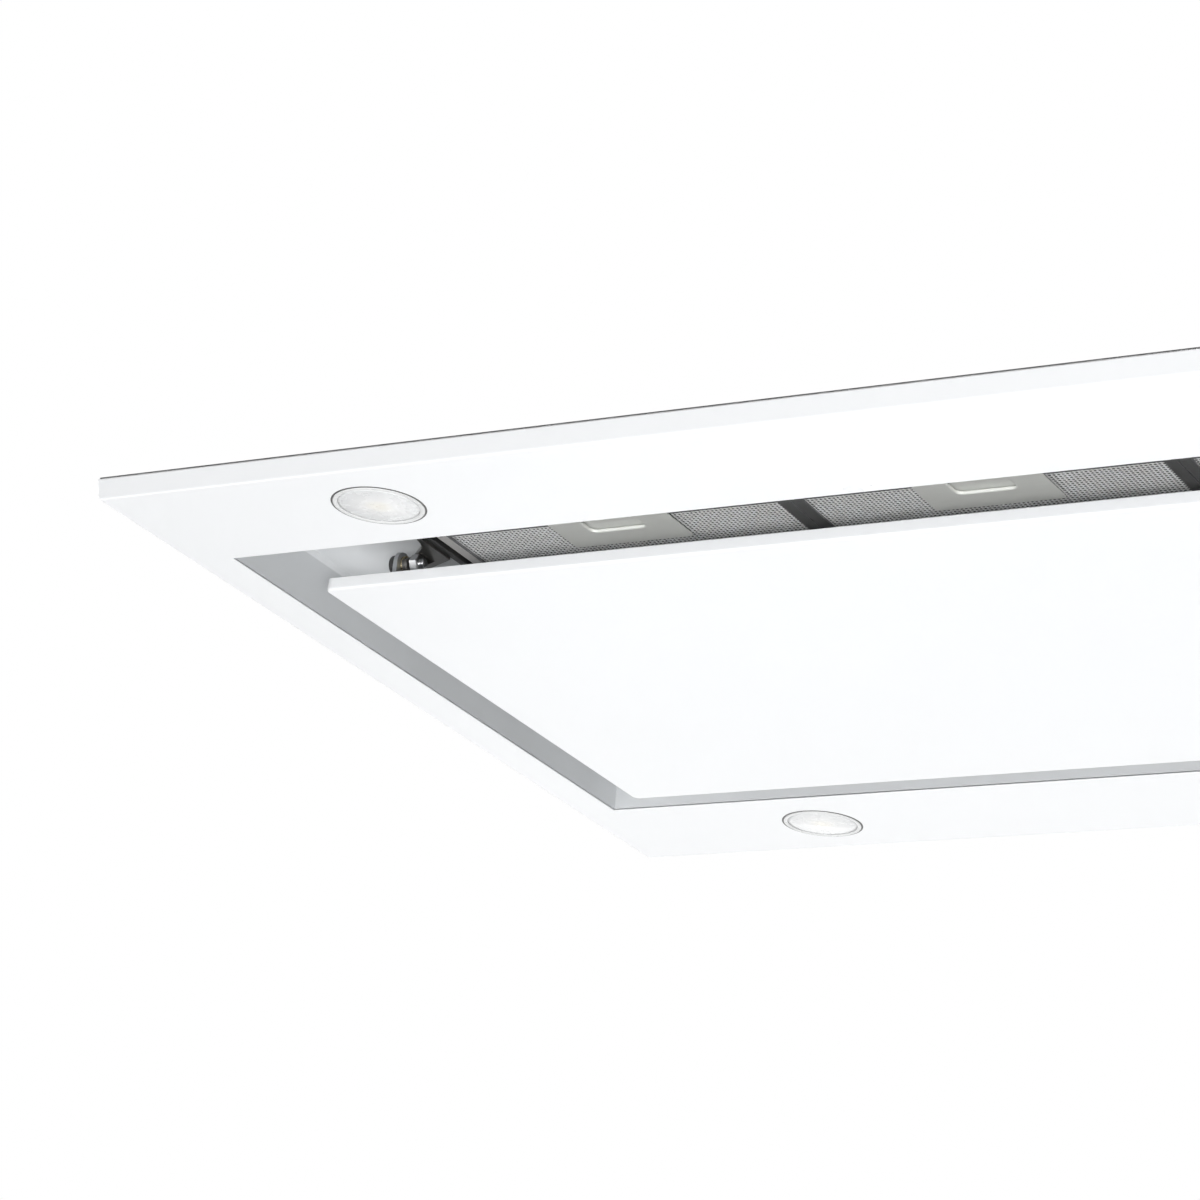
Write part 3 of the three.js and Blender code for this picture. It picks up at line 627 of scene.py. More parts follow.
def makeTrim():
    look, steps = trimLook, trimLook["cornerSteps"]
    low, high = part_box("trim_frame")
    top, bottom = high.z - look["sealThickness"], low.z
    sheet, fold, slope, lip = look["sheet"], look["foldRadius"], look["draft"], look["lipWidth"]

    def outerRing(inset, height):
        corner = max(look["cornerRadius"] - inset, 0.0003)
        return roundedRing(high.x - inset, high.y - inset, height, corner, steps)

    # inset from the outer size, and height
    outside = [(lip, top), *filletPoints((fold, top - fold), fold, 90, 180, 4)]
    outside += filletPoints((slope + fold, bottom + fold), fold, 180, 270, 4)
    inside = [(slope + sheet, bottom + sheet), (sheet * 1.3, top - sheet), (lip, top - sheet)]
    rings = [outerRing(*place) for place in outside]
    (halfX, halfY), edge = look["opening"], look["openingEdge"]
    for grow, height in ((edge, bottom), (0, bottom + edge), (0, bottom + sheet)):
        rings.append(roundedRing(halfX + grow, halfY + grow, height, look["openingCorner"], steps))
    rings += [outerRing(*place) for place in inside]
    trim = newObject("trimFrame", loft("trimFrame", rings, closed=True))
    hole, thin, under, over = look["lampHole"], 0.0001, bottom - 0.01, bottom + 0.005
    profile = [(thin, under), (hole, under), (hole, over), (thin, over)]
    cutters = [turnedMesh("lampHoleCutter", profile, centre, 48) for centre in lampCentres()]
    cutWith(trim, [newObject("lampHoleCutter", mesh) for mesh in cutters])
    finishPiece(evenShading(trim), "whiteEnamel", "hood", "white_paint", "trim_frame")
    (near, far), ceiling = look["sealInsets"], top + look["sealThickness"]
    seal = [
        roundedRing(high.x - inset, high.y - inset, height, look["sealCorner"], steps)
        for inset, height in ((near, top), (near, ceiling), (far, ceiling), (far, top))
    ]
    shadedPiece("ceilingSeal", loft("ceilingSeal", seal, closed=True), "sealFoam", "hood", "black_paint")


makeTrim()
print("trim frame folded")

# Panel: a white tray with soft bottom edges

panelLook = {"corner": 0.005, "bottomRadius": 0.0014, "sheet": 0.0012, "topEdge": 0.0003, "steps": 10}


def makePanel():
    low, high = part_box("panel_skin")
    radius, sheet, edge = panelLook["bottomRadius"], panelLook["sheet"], panelLook["topEdge"]
    profile = [
        (sheet, low.z + sheet), (sheet, high.z - 0.0002), (sheet - edge, high.z),
        (edge, high.z), (0, high.z - edge),
        *filletPoints((radius, low.z + radius), radius, 180, 270, 5),
    ]
    rings = [
        roundedRing(high.x - inset, high.y - inset, height, panelLook["corner"] - inset, panelLook["steps"])
        for inset, height in profile
    ]
    shadedPiece("panelTray", loft("panelTray", rings), "whiteEnamel", "panel", "white_paint", "panel_skin")


makePanel()
print("panel pressed")

# Lamps: bezel ringed by a dark band that paints the shadow at its edge, domed frosted lens with painted
# reflections and shade, finned body

lampLook = {
    "bezelRadius": 0.0275, "bezelBore": 0.0246, "tubeRadius": 0.0254, "bezelStand": 0.0006,
    "shadowBandWidth": 0.0011, "shadowBandLap": 0.0012,
    "lensRadius": 0.02455, "lensDrop": 0.0001, "dome": 0.0006, "domeSteps": 10, "lensSides": 72,
    "finCount": 7, "finRadius": 0.0236, "coreRadius": 0.0155, "bodySides": 48,
}


def makeBezel(number, centre, sheet, under):
    node = f"lamp_{number}_bezel"
    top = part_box(node)[1].z
    outer, bore, tube = lampLook["bezelRadius"], lampLook["bezelBore"], lampLook["tubeRadius"]
    profile = [
        (outer - 0.0003, sheet - 0.0001), (outer, sheet - 0.0002), (outer - 0.0002, under + 0.0001),
        (outer - 0.0006, under), (bore + 0.0006, under), (bore + 0.0001, under + 0.0002),
        (bore, under + 0.0005), (bore, top), (tube, top), (tube, sheet - 0.0001),
    ]
    bezel = turnedMesh("lampBezel", profile, centre)
    shadedPiece(f"lampBezel{number}", bezel, "bezelWhite", "hood", "white_plastic", node)
    # a dark band round the bezel on the trim's underside: painted shadow of the bezel's edge
    rim, lap = outer + lampLook["shadowBandWidth"], outer - lampLook["shadowBandLap"]
    foot, head = sheet - 0.00015, sheet + 0.0001
    outline = turnedMesh("lampShadowBand", [(rim, foot), (rim, head), (lap, head), (lap, foot)], centre)
    shadedPiece(f"lampShadowBand{number}", outline, "bezelShadowBand", "hood", "white_plastic")


def makeLens(number, centre, bottom):
    node = f"lamp_{number}_lens"
    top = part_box(node)[1].z
    edge, steps, sides = lampLook["lensRadius"], lampLook["domeSteps"], lampLook["lensSides"]
    dome = lampLook["dome"]
    profile = [(edge * i / steps, bottom + dome * (i / steps) ** 2) for i in range(1, steps + 1)]
    vertices = [(centre[0], centre[1], bottom)]
    for radius, height in profile + [(edge, top), (edge * 0.5, top)]:
        vertices += circle(centre, radius, height, sides)
    last = len(vertices) - sides
    faces = [(0, 1 + i, 1 + (i + 1) % sides) for i in range(sides)]
    for start in range(1, last, sides):
        for i in range(sides):
            j = (i + 1) % sides
            faces.append((start + i, start + sides + i, start + sides + j, start + j))
    faces.append(tuple(range(last, len(vertices))))
    lens = evenShading(newObject(f"lampLens{number}", meshFrom("lampLens", vertices, faces)))
    # the lens's colour rings, its painted reflections and shaded rim, run on this distance from its centre
    layer = lens.data.uv_layers.new(name="fromCentre")
    for loop in lens.data.loops:
        place = lens.data.vertices[loop.vertex_index].co
        layer.data[loop.index].uv = ((place.x - centre[0]) / edge, (place.y - centre[1]) / edge)
    finishPiece(lens, "frostedLens", "hood", "frosted_lens", node)


def makeLampBody(number, centre):
    node = f"lamp_{number}_body"
    low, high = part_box(node)
    core, rim = lampLook["coreRadius"], lampLook["finRadius"]
    step = (high.z - low.z) / lampLook["finCount"]
    profile = [(core * 0.4, low.z)]
    for i in range(lampLook["finCount"]):
        foot = low.z + i * step
        profile += [
            (core, foot + 0.0001), (rim - 0.0004, foot + 0.0003), (rim, foot + step * 0.3),
            (rim - 0.0004, foot + step * 0.55), (core, foot + step * 0.6),
        ]
    profile += [(core, high.z), (core * 0.4, high.z)]
    body = turnedMesh("lampBody", profile, centre, lampLook["bodySides"])
    shadedPiece(f"lampBody{number}", body, "castAlloy", "hood", "cast_aluminium", node)


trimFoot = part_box("trim_frame")[0].z
bezelFoot = trimFoot - lampLook["bezelStand"]
for number, centre in enumerate(lampCentres(), 1):
    makeBezel(number, centre, trimFoot, bezelFoot)
    makeLens(number, centre, bezelFoot - lampLook["lensDrop"])
    makeLampBody(number, centre)
print("lamps turned")

# Filter weave: woven wires from one node tree, with crimped foil behind them, whose dark colour is painted
# shade in the gaps between the wires

weaveLook = {
    # these four are inputs of the node tree
    "wires": {"Pitch": 0.0028, "Wire Radius": 0.0006, "Cross Radius": 0.00026, "Wave": 0.00012},
    "wireSides": 4, "wireInset": 0.001, "wireHeight": 0.001,
    "foilHeight": 0.0026, "foilStep": 0.004, "foilDepth": 0.0018, "foilSheet": 0.0003,
    # room behind a handle plate: half width and back for the wires, then for the foil
    "wireRoom": (0.039, -0.1495), "foilRoom": (0.022, -0.165),
    "stripWidth": 0.0064, "stripLength": 0.376, "stripCorner": 0.0008,
}


def startTree(name, inputs, material):
    # an input's value is its default, or the word for its kind of socket
    tree = bpy.data.node_groups.new(name, "GeometryNodeTree")
    for socketName, value in (("Geometry", "Geometry"), *inputs.items(), (material, "Material")):
        kind = value if isinstance(value, str) else "Float"
        socket = tree.interface.new_socket(name=socketName, in_out="INPUT", socket_type="NodeSocket" + kind)
        if kind == "Float":
            socket.default_value = value
    tree.interface.new_socket(name="Geometry", in_out="OUTPUT", socket_type="NodeSocketGeometry")
    return tree, addNode(tree, "NodeGroupInput").outputs


def endTree(tree, instances, material):
    solid = addNode(tree, "GeometryNodeRealizeInstances", {0: instances})
    paint = addNode(tree, "GeometryNodeSetMaterial", {"Geometry": solid.outputs[0], "Material": material})
    addNode(tree, "NodeGroupOutput", {0: paint.outputs[0]})
    return tree


def makeWeaveTree():
    sizes = {"Width": 0.24, "Length": 0.37, **weaveLook["wires"]}
    tree, given = startTree("wovenWires", sizes, "Wire Material")
    pitch = given["Pitch"]

    def calc(operation, first, second=0):
        return mathNode(tree, operation, first, second)

    join = addNode(tree, "GeometryNodeJoinGeometry")
    for along, across, span, side, radius in (
        ("X", "Y", "Width", "Length", "Cross Radius"), ("Y", "X", "Length", "Width", "Wire Radius"),
    ):
        ring = addNode(tree, "GeometryNodeCurvePrimitiveCircle", {
            "Resolution": weaveLook["wireSides"], "Radius": given[radius],
        })
        crossings = calc("FLOOR", calc("DIVIDE", given[span], pitch))
        wires = calc("FLOOR", calc("DIVIDE", given[side], pitch))
        half = calc("MULTIPLY", calc("MULTIPLY", crossings, pitch), 0.5)
        line = addNode(tree, "GeometryNodeCurvePrimitiveLine", {
            "Start": vectorOf(tree, **{along: calc("MULTIPLY", half, -1)}),
            "End": vectorOf(tree, **{along: half}),
        })
        points = addNode(tree, "GeometryNodeResampleCurve", {
            "Curve": line.outputs[0], "Count": calc("ADD", crossings, 1),
        })
        parity = calc("MODULO", addNode(tree, "GeometryNodeInputIndex").outputs[0], 2)
        swing = calc("MULTIPLY", calc("SUBTRACT", calc("MULTIPLY", parity, 2), 1), given["Wave"])
        middle = calc("MULTIPLY", calc("MULTIPLY", wires, pitch), 0.5)
        for phase in (0, 1):
            # every second wire starts on the other side of the ones it crosses
            sign = 1 if (phase == 0) == (along == "X") else -1
            lift = addNode(tree, "GeometryNodeSetPosition", {
                "Geometry": points.outputs[0], "Offset": vectorOf(tree, Z=calc("MULTIPLY", swing, sign)),
            })
            tube = addNode(tree, "GeometryNodeCurveToMesh", {
                "Curve": lift.outputs[0], "Profile Curve": ring.outputs[0], "Fill Caps": True,
            })
            start = calc("SUBTRACT", calc("MULTIPLY", pitch, phase), middle)
            count = calc("FLOOR", calc("MULTIPLY", calc("SUBTRACT", wires, phase), 0.5))
            row = addNode(tree, "GeometryNodeMeshLine", {
                "Start Location": vectorOf(tree, **{across: start}),
                "Offset": vectorOf(tree, **{across: calc("MULTIPLY", pitch, 2)}),
                "Count": calc("ADD", count, 1),
            })
            place = addNode(tree, "GeometryNodeInstanceOnPoints", {
                "Points": row.outputs[0], "Instance": tube.outputs[0],
            })
            tree.links.new(place.outputs[0], join.inputs[0])
    return endTree(tree, join.outputs[0], given["Wire Material"])


def crimpedFoil(name, low, high, height):
    step = weaveLook["foilStep"]
    count = int((high.y - low.y) / step)
    vertices = []
    for i in range(count + 1):
        y = low.y + (high.y - low.y) * i / count
        z = height + (weaveLook["foilDepth"] if i % 2 else 0)
        top = z + weaveLook["foilSheet"]
        vertices += [(low.x, y, z), (high.x, y, z), (high.x, y, top), (low.x, y, top)]
    faces = [(0, 1, 2, 3), tuple(count * 4 + i for i in (3, 2, 1, 0))]
    for i in range(count):
        for k in range(4):
            faces.append((i * 4 + k, i * 4 + (k + 1) % 4, i * 4 + 4 + (k + 1) % 4, i * 4 + 4 + k))
    return newObject(name, meshFrom(name, vertices, faces))


def clearWires(made, middle):
    # leaves out the wires behind a handle plate and closes the cut ends
    half, back = weaveLook["wireRoom"]
    build = bmesh.new()
    build.from_mesh(made.data)
    behind = []
    for face in build.faces:
        place = face.calc_center_median()
        if abs(place.x - middle) < half and place.y < back:
            behind.append(face)
    bmesh.ops.delete(build, geom=behind, context="FACES")
    ends = [edge for edge in build.edges if edge.is_boundary]
    bmesh.ops.holes_fill(build, edges=ends, sides=4)
    bmesh.ops.recalc_face_normals(build, faces=build.faces)
    build.to_mesh(made.data)
    build.free()


def clearFoil(made, low, high):
    half, back = weaveLook["foilRoom"]
    middle = (low.x + high.x) / 2
    front = low.y - 0.01
    rings = [
        roundedRing(half, (back - front) / 2, height, 0.001, 2, (middle, (back + front) / 2))
        for height in (low.z - 0.01, high.z + 0.01)
    ]
    cutWith(made, [newObject("foilCutter", loft("foilCutter", rings))])


def makeFilterPacks():
    look, tree = weaveLook, makeWeaveTree()
    for number in (1, 2, 3):
        node = f"filter_{number}_mesh"
        low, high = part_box(node)
        x, y, _ = middleOf(low, high)
        weave = runTree(f"filterWeave{number}", tree, {
            "Width": high.x - low.x - 2 * look["wireInset"],
            "Length": high.y - low.y - 2 * look["wireInset"],
            "Wire Material": materials["weaveWire"],
            **look["wires"],
        }, (x, y, low.z + look["wireHeight"]))
        clearWires(weave, x)
        weave.data.shade_smooth()
        finishPiece(weave, "weaveWire", "hood", "mesh_metal", node)
        # the foil's dark finish paints the shade behind the wires
        foil = crimpedFoil(f"filterFoil{number}", low, high, low.z + look["foilHeight"])
        clearFoil(foil, low, high)
        finishPiece(foil, "crimpedFoil", "hood", "mesh_metal")


def makeSheenStrips():
    # pale satin strips on the outer edge channels, at the two ends of the row of filters: a painted sheen,
    # lighter than the dark frames under them
    half, length = weaveLook["stripWidth"] / 2, weaveLook["stripLength"]
    for name, number, side in (("sheenStripLeft", 1, -1), ("sheenStripRight", 3, 1)):
        low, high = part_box(f"filter_{number}_frame")
        middle = ((low.x if side < 0 else high.x) - side * (half + 0.0002), 0)
        rings = [
            roundedRing(half - inset, length / 2 - inset, low.z + up, weaveLook["stripCorner"], 4, middle)
            for inset, up in ((0, 0.0001), (0, -0.0002), (0.0002, -0.0004))
        ]
        shadedPiece(name, loft(name, rings), "paintedSheenSatin", "hood", "satin_metal")


makeFilterPacks()
makeSheenStrips()
print("filters woven")

# Handle plate with a pressed window, and the latch's sheet with its finger ridges behind it

handleLook = {
    "sheet": 0.0009, "corner": 0.0022, "edge": 0.0003, "cornerSteps": 6,
    "windowHalf": 0.019, "windowFront": -0.1865, "windowBack": -0.168, "windowCorner": 0.0042,
    "lipRadius": 0.0011, "lipHeight": 0.0019,
    "latchFloor": 0.0166, "latchSheet": 0.001, "latchFront": -0.187, "latchCorner": 0.002,
    "latchEdge": 0.0002,
    "ridges": (-0.18405, -0.18155), "ridgeHalf": (0.014, 0.0006), "ridgeCorner": 0.0005,
    "boltHalf": (0.009, 0.0015), "boltCorner": 0.0006, "boltDrop": 0.003, "boltTail": 0.003,
    "boltNose": (0.0012, 0.0008),
}


def makePlate(number):
    look, steps, node = handleLook, handleLook["cornerSteps"], f"filter_{number}_plate"
    low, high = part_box(node)
    middle = middleOf(low, high)
    halfX, halfY = (high.x - low.x) / 2, (high.y - low.y) / 2
    windowMiddle = (middle[0], (look["windowFront"] + look["windowBack"]) / 2)
    windowX, windowY = look["windowHalf"], (look["windowBack"] - look["windowFront"]) / 2
    sheet, edge, bend = look["sheet"], look["edge"], look["lipRadius"]
    rings = [
        roundedRing(halfX - inset, halfY - inset, low.z + up, look["corner"], steps, middle)
        for inset, up in ((0, sheet), (0, edge), (edge, 0))
    ]
    turns = (0, 0.4, 0.8, 1.2, math.pi / 2)
    lip = [(bend * (1 - math.sin(turn)), bend * (1 - math.cos(turn))) for turn in turns]
    lip += [(0, look["lipHeight"]), (0.0005, look["lipHeight"]), (0.0006, bend), (bend, sheet)]
    for grow, up in lip:
        corner = look["windowCorner"] + grow
        rings.append(roundedRing(windowX + grow, windowY + grow, low.z + up, corner, steps, windowMiddle))
    plate = loft("handlePlate", rings, closed=True)
    shadedPiece(f"handlePlate{number}", plate, "handleSatin", "hood", "satin_metal", node)


def makeLatch(number):
    look, node = handleLook, f"filter_{number}_latch"
    piece = (f"latch_{number}", "satin_metal")
    low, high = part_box(node)
    x = middleOf(*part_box(f"filter_{number}_plate"))[0]
    foot, edge = look["latchFloor"], look["latchEdge"]
    top = foot + look["latchSheet"]
    halfX, halfY = (high.x - low.x) / 2, (high.y - look["latchFront"]) / 2
    middle, steps = (x, high.y - halfY), look["cornerSteps"]
    sheet = [
        roundedRing(halfX - inset, halfY - inset, height, look["latchCorner"] - inset, steps, middle)
        for inset, height in ((edge, top), (0, top - edge), (0, foot + edge), (edge, foot))
    ]
    shadedPiece(f"latchSheet{number}", loft("latchSheet", sheet), "handleSatin", *piece, node)
    (halfX, halfY), corner = look["ridgeHalf"], look["ridgeCorner"]
    for i, y in enumerate(look["ridges"], 1):
        ridge = [
            roundedRing(halfX - inset, halfY - inset * 0.5, foot - drop, corner - inset * 0.5, 4, (x, y))
            for inset, drop in ((0, -0.0002), (0, 0.0006), (0.0002, 0.001), (0.0005, 0.0012))
        ]
        shadedPiece(f"latchRidge{number}x{i}", loft("latchRidge", ridge), "handleSatin", *piece)
    (halfX, halfZ), (nose, taper) = look["boltHalf"], look["boltNose"]
    bolt = []
    for y, narrow in ((look["latchFront"] + look["boltTail"], 0), (low.y + nose, 0), (low.y, taper)):
        ring = roundedRing(halfX - narrow, halfZ - narrow, 0, look["boltCorner"], 3)
        bolt.append([(x + across, y, high.z - look["boltDrop"] + halfZ + up) for across, up, _ in ring])
    shadedPiece(f"latchBolt{number}", loft("latchBolt", bolt), "platedSteel", *piece)


for number in (1, 2, 3):
    makePlate(number)
    makeLatch(number)
print("handles pressed")

# Pins: moulded cap, passivated collar, shank with a threaded end, and a chamfered hexagon nut

pinLook = {
    # distances from the hood's middle along its length
    "cap": (0.4003, 0.4053), "capRadius": 0.0065, "collar": (0.3945, 0.3967), "collarRadius": 0.0055,
    "ear": (0.3965, 0.401), "shankRadius": 0.003, "nut": (0.3845, 0.3905), "nutRadius": 0.006,
    "end": 0.381, "threadPitch": 0.0008, "threadDepth": 0.0003,
}


def turnedAlong(name, side, profile, y, z, sides):
    # a profile of distance and radius, turned about a line along the hood's length
    rings = [[(x, a, b) for a, b, x in circle((y, z), radius, side * x, sides)] for x, radius in profile]
    return newObject(name, loft(name, rings))


def chamfered(span, radius, slope, endRadius):
    start, end = span
    return [(start, endRadius), (start + slope, radius), (end - slope, radius), (end, endRadius)]


def makePin(node):
    look, name = pinLook, camelCase(node)
    low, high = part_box(node)
    side = 1 if high.x > 0 else -1
    _, y, z = middleOf(low, high)
    (capIn, capOut), big = look["cap"], look["capRadius"]
    cap = [
        (capIn, big - 0.0003), (capIn + 0.0003, big), (capOut - 0.0018, big),
        (capOut - 0.0008, big - 0.0005), (capOut - 0.0002, big - 0.0016), (capOut, big - 0.003),
        (capOut, 0.0016), (capOut - 0.0007, 0.0009), (capOut - 0.0007, 0.0001),
    ]
    shank, end, pitch = look["shankRadius"], look["end"], look["threadPitch"]
    (earIn, earOut), wide = look["ear"], shank + 0.001
    profile = [(end, shank * 0.6), (end + 0.0004, shank - 0.0004)]
    for i in range(1, int((look["nut"][0] - end) / pitch * 2)):
        profile.append((end + 0.0004 + i * pitch / 2, shank - (look["threadDepth"] if i % 2 == 0 else 0)))
    profile += [(look["nut"][0], shank), (earIn, shank), (earIn, wide), (earOut, wide)]
    nut, collar = look["nutRadius"], look["collarRadius"]
    collar = chamfered(look["collar"], collar, 0.0003, collar - 0.0004)
    parts = [
        (name, profile, 32, "platedSteel", (node,)),
        (name + "Cap", cap, 32, "mouldedBlack", ()),
        (name + "Collar", collar, 32, "passivatedZinc", ()),
        (name + "Nut", chamfered(look["nut"], nut, 0.0006, nut * 0.84), 6, "platedSteel", ()),
    ]
    for partName, outline, sides, finish, replaced in parts:
        part = turnedAlong(partName, side, outline, y, z, sides)
        if sides > 6:
            evenShading(part)
        finishPiece(part, finish, "panel", "bright_steel", *replaced)


for side in ("left", "right"):
    makePin(f"hinge_pin_{side}")
    makePin(f"catch_pin_{side}")
print("pins turned")

# Screws: one node tree puts a cross-recessed head on every point it is given

screwLook = {
    # these are inputs of the node tree
    "head": {
        "Head Radius": 0.0034, "Head Height": 0.0018,
        "Cross Length": 0.0036, "Cross Width": 0.0008, "Cross Depth": 0.0012,
    },
    "smallHead": 0.85, "rivetHead": 0.6,
    # how far each row keeps from the edges of its piece, and the rivets' distance from the hood's middle
    "footUp": 0.009, "footEnd": 0.03, "flange": 0.0045, "flangeUp": 0.002, "cover": 0.007,
    "rivet": 0.004, "rivetY": 0.185,
}


def makeScrewTree():
    tree, given = startTree("crossHeads", {"Turn": "Rotation", **screwLook["head"]}, "Head Material")
    radius, height = given["Head Radius"], given["Head Height"]
    ball = addNode(tree, "GeometryNodeMeshUVSphere", {"Segments": 24, "Rings": 14, "Radius": 1})
    head = addNode(tree, "GeometryNodeTransform", {
        "Geometry": ball.outputs[0], "Scale": vectorOf(tree, X=radius, Y=radius, Z=height),
    })
    recess = addNode(tree, "GeometryNodeMeshBoolean", {"Mesh 1": head.outputs[0]}, operation="DIFFERENCE")
    depth = mathNode(tree, "MULTIPLY", given["Cross Depth"], 2)
    for long, short in (("Cross Length", "Cross Width"), ("Cross Width", "Cross Length")):
        size = vectorOf(tree, X=given[long], Y=given[short], Z=depth)
        rise = addNode(tree, "GeometryNodeTransform", {
            "Geometry": addNode(tree, "GeometryNodeMeshCube", {"Size": size}).outputs[0],
            "Translation": vectorOf(tree, Z=height),
        })
        tree.links.new(rise.outputs[0], recess.inputs["Mesh 2"])
    place = addNode(tree, "GeometryNodeInstanceOnPoints", {
        "Points": given["Geometry"], "Instance": recess.outputs["Mesh"], "Rotation": given["Turn"],
    })
    return endTree(tree, place.outputs[0], given["Head Material"])


screwTree = makeScrewTree()


def putScrews(name, points, facing, slot="bright_steel", size=1.0, finish="platedSteel"):
    screws = runTree(name, screwTree, {
        "Turn": Vector((0, 0, 1)).rotation_difference(Vector(facing)).to_euler(),
        "Head Material": materials[finish],
        **{socket: value * size for socket, value in screwLook["head"].items()},
    }, points=points)
    finishPiece(evenShading(screws), finish, "hood", slot)


def spread(first, last, count):
    return [first + (last - first) * i / (count - 1) for i in range(count)]


def makeScrews():
    look = screwLook
    low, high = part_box("plenum_box")
    foot, end = low.z + look["footUp"], look["footEnd"]
    row, column = spread(low.x + end, high.x - end, 7), spread(low.y + end, high.y - end, 4)
    putScrews("frontFootScrews", [(x, low.y, foot) for x in row], (0, -1, 0))
    putScrews("rearFootScrews", [(x, high.y, foot) for x in row], (0, 1, 0))
    putScrews("leftFootScrews", [(low.x, y, foot) for y in column], (-1, 0, 0))
    putScrews("rightFootScrews", [(high.x, y, foot) for y in column], (1, 0, 0))
    low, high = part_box("duct_collar")
    (x, _, z), y = middleOf(low, high), low.y + look["flangeUp"]
    ring, flange = [math.radians(30 + 60 * i) for i in range(6)], (high.x - low.x) / 2 - look["flange"]
    points = [(x + flange * math.cos(turn), y, z + flange * math.sin(turn)) for turn in ring]
    putScrews("collarScrews", points, (0, 1, 0), size=look["smallHead"])
    (low, high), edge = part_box("control_cover"), look["cover"]
    points = [(low.x, y, z) for y in (low.y + edge, high.y - edge) for z in (low.z + edge, high.z - edge)]
    putScrews("coverScrews", points, (-1, 0, 0), size=look["smallHead"])
    edge, far, size = look["rivet"], look["rivetY"], look["rivetHead"]
    for number in (1, 2, 3):
        low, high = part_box(f"filter_{number}_frame")
        points = [(x, y, low.z) for x in (low.x + edge, high.x - edge) for y in (-far, far)]
        putScrews(f"filterRivets{number}", points, (0, 0, -1), "dark_frame", size, "channelAnodised")


makeScrews()
print("screws driven")

# Plenum box: pressed ribs on its top and sides

ribLook = {
    "width": 0.013, "height": 0.0022,
    # share of half the width in from the edge, and share of the height
    "section": ((0, -0.1), (0, 0.05), (0.12, 0.35), (0.3, 0.7), (0.5, 0.92), (0.75, 1)),
    # how far the ribs keep from the box's edges; the rear ones leave room for the duct
    "end": 0.06, "topRow": 0.05, "sideRow": 0.07,
    "rearEnd": 0.05, "rearGap": (-0.04, 0.21), "rightHalf": 0.125,
}


def makeRib(name, start, end, facing):
    start, end, facing = Vector(start), Vector(end), Vector(facing)
    along = (end - start).normalized()
    across = facing.cross(along)
    middle = (start + end) / 2
    halfLength, halfWidth = (end - start).length / 2, ribLook["width"] / 2
    rings = []
    for share, up in ribLook["section"]:
        inset = halfWidth * share
        ring = roundedRing(halfLength - inset, halfWidth - inset, 0, halfWidth - inset - 0.0001, 8)
        lift = facing * up * ribLook["height"]
        rings.append([middle + along * x + across * y + lift for x, y, _ in ring])
    shadedPiece(name, loft(name, rings), "zincSheet", "hood", "galvanised")


def makeRibs():
    look = ribLook
    low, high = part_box("plenum_box")
    (left, right), half = (low.x + look["end"], high.x - look["end"]), look["rightHalf"]
    rearLeft, rearRight = low.x + look["rearEnd"], high.x - look["rearEnd"]
    gapLeft, gapRight = look["rearGap"]
    for i, y in enumerate(spread(low.y + look["topRow"], high.y - look["topRow"], 4), 1):
        makeRib(f"topRib{i}", (left, y, high.z), (right, y, high.z), (0, 0, 1))
    for i, z in enumerate((low.z + look["sideRow"], high.z - look["sideRow"]), 1):
        makeRib(f"frontRib{i}", (left, low.y, z), (right, low.y, z), (0, -1, 0))
        makeRib(f"rearRib{i}", (rearLeft, high.y, z), (gapLeft, high.y, z), (0, 1, 0))
        makeRib(f"rearShortRib{i}", (gapRight, high.y, z), (rearRight, high.y, z), (0, 1, 0))
        makeRib(f"rightRib{i}", (high.x, -half, z), (high.x, half, z), (1, 0, 0))


makeRibs()
print("ribs pressed")

# Rubber lip round the end of the duct collar

lipLook = {
    # how far out from the spigot, and y
    "section": (
        (0.0001, 0.262), (0.0016, 0.264), (0.0003, 0.268), (0.0016, 0.27), (0.0001, 0.274),
        (-0.0004, 0.274), (-0.0004, 0.262),
    ),
    "flange": 0.01, "sides": 96,
}


def makeCollarLip():
    low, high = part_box("duct_collar")
    x, _, z = middleOf(low, high)
    radius = high.x - x - lipLook["flange"]
    rings = [
        [(a, along, b) for a, b, along in circle((x, z), radius + out, y, lipLook["sides"])]
        for out, y in lipLook["section"]
    ]
    shadedPiece("collarLip", loft("collarLip", rings, closed=True), "mouldedBlack", "hood", "black_plastic")


makeCollarLip()
print("collar lip moulded")

# The other pieces keep their solid's shape and get broken edges

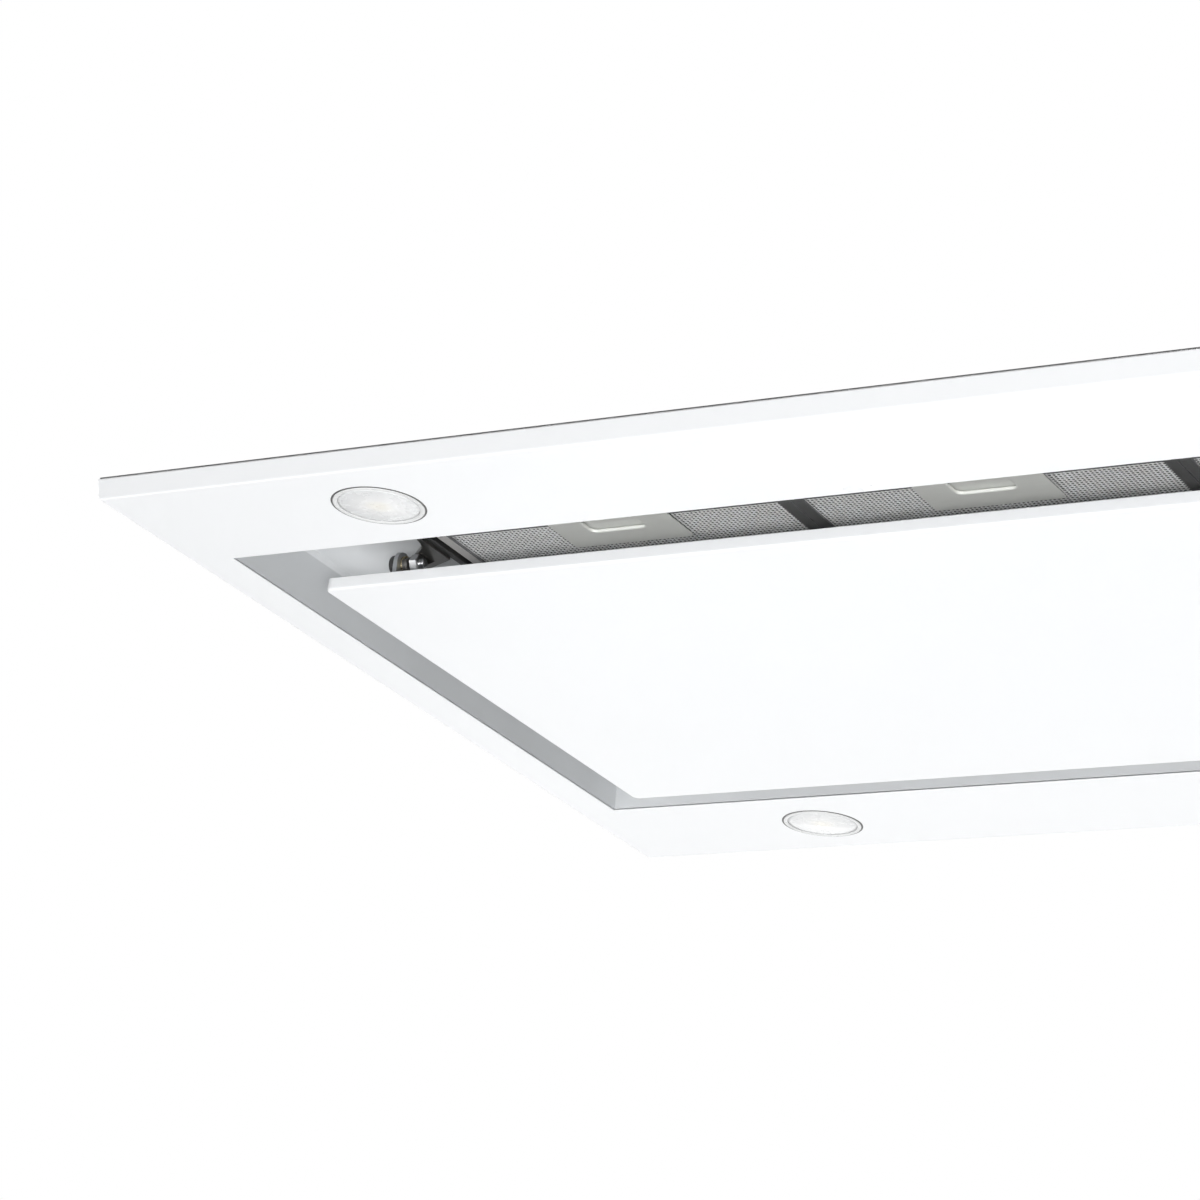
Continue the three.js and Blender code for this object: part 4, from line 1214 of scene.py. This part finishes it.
zinc = ("zincSheet", "galvanised")
black = ("mouldedBlack", "black_plastic")
grey = ("mouldedGrey", "grey_plastic")
edgeLook = {
    # node: edge radius in metres, finish, slot
    "well_liner": (0.0005, "wellPaint", "grey_paint"),
    "filter_carrier": (0.0004, "carrierBlack", "black_paint"),
    "panel_cross_rail": (0.0005, *zinc),
    "plenum_box": (0.0005, *zinc),
    "scroll_housing": (0.0004, *zinc),
    "scroll_inlet": (0.0003, *zinc),
    "impeller": (0.0002, *black),
    "motor": (0.0012, "castAlloy", "cast_aluminium"),
    "motor_mount": (0.0004, *zinc),
    "duct_collar": (0.0004, *grey),
    "damper_flap_right": (0.0002, *black),
    "damper_flap_left": (0.0002, *black),
    "control_box": (0.0006, *grey),
    "control_cover": (0.0006, *grey),
    "control_board": (0.0002, "boardGreen", "circuit_board"),
    "cable_gland": (0.0005, *black),
}
for side in ("left", "right"):
    edgeLook[f"panel_rail_{side}"] = (0.0005, *zinc)
    edgeLook[f"hinge_bracket_{side}"] = (0.0005, "springSteel", "dark_spring")
    edgeLook[f"catch_clip_{side}"] = (0.0005, "springSteel", "dark_spring")
for number in (1, 2, 3):
    edgeLook[f"filter_{number}_frame"] = (0.0004, "channelAnodised", "dark_frame")
for number in (1, 2, 3, 4):
    edgeLook[f"hanger_{number}"] = (0.0005, *zinc)
    edgeLook[f"clamp_screw_{number}"] = (0.0004, "platedSteel", "bright_steel")


def breakEdges(node, radius, finish, slot):
    mesh = frame["nodes"][node].data.copy()
    build = bmesh.new()
    build.from_mesh(mesh)
    bmesh.ops.remove_doubles(build, verts=build.verts, dist=2e-6)
    bmesh.ops.dissolve_limit(build, angle_limit=math.radians(0.5), verts=build.verts, edges=build.edges)
    build.to_mesh(mesh)
    build.free()
    made = newObject(camelCase(node), mesh)
    bevel = made.modifiers.new("brokenEdges", "BEVEL")
    bevel.width = radius
    bevel.segments = 2
    bevel.limit_method = "ANGLE"
    bevel.angle_limit = math.radians(32)
    finishPiece(evenShading(made), finish, nodeBody[node], slot, node)


for node, look in edgeLook.items():
    breakEdges(node, *look)
print("edges broken on", len(edgeLook), "pieces")
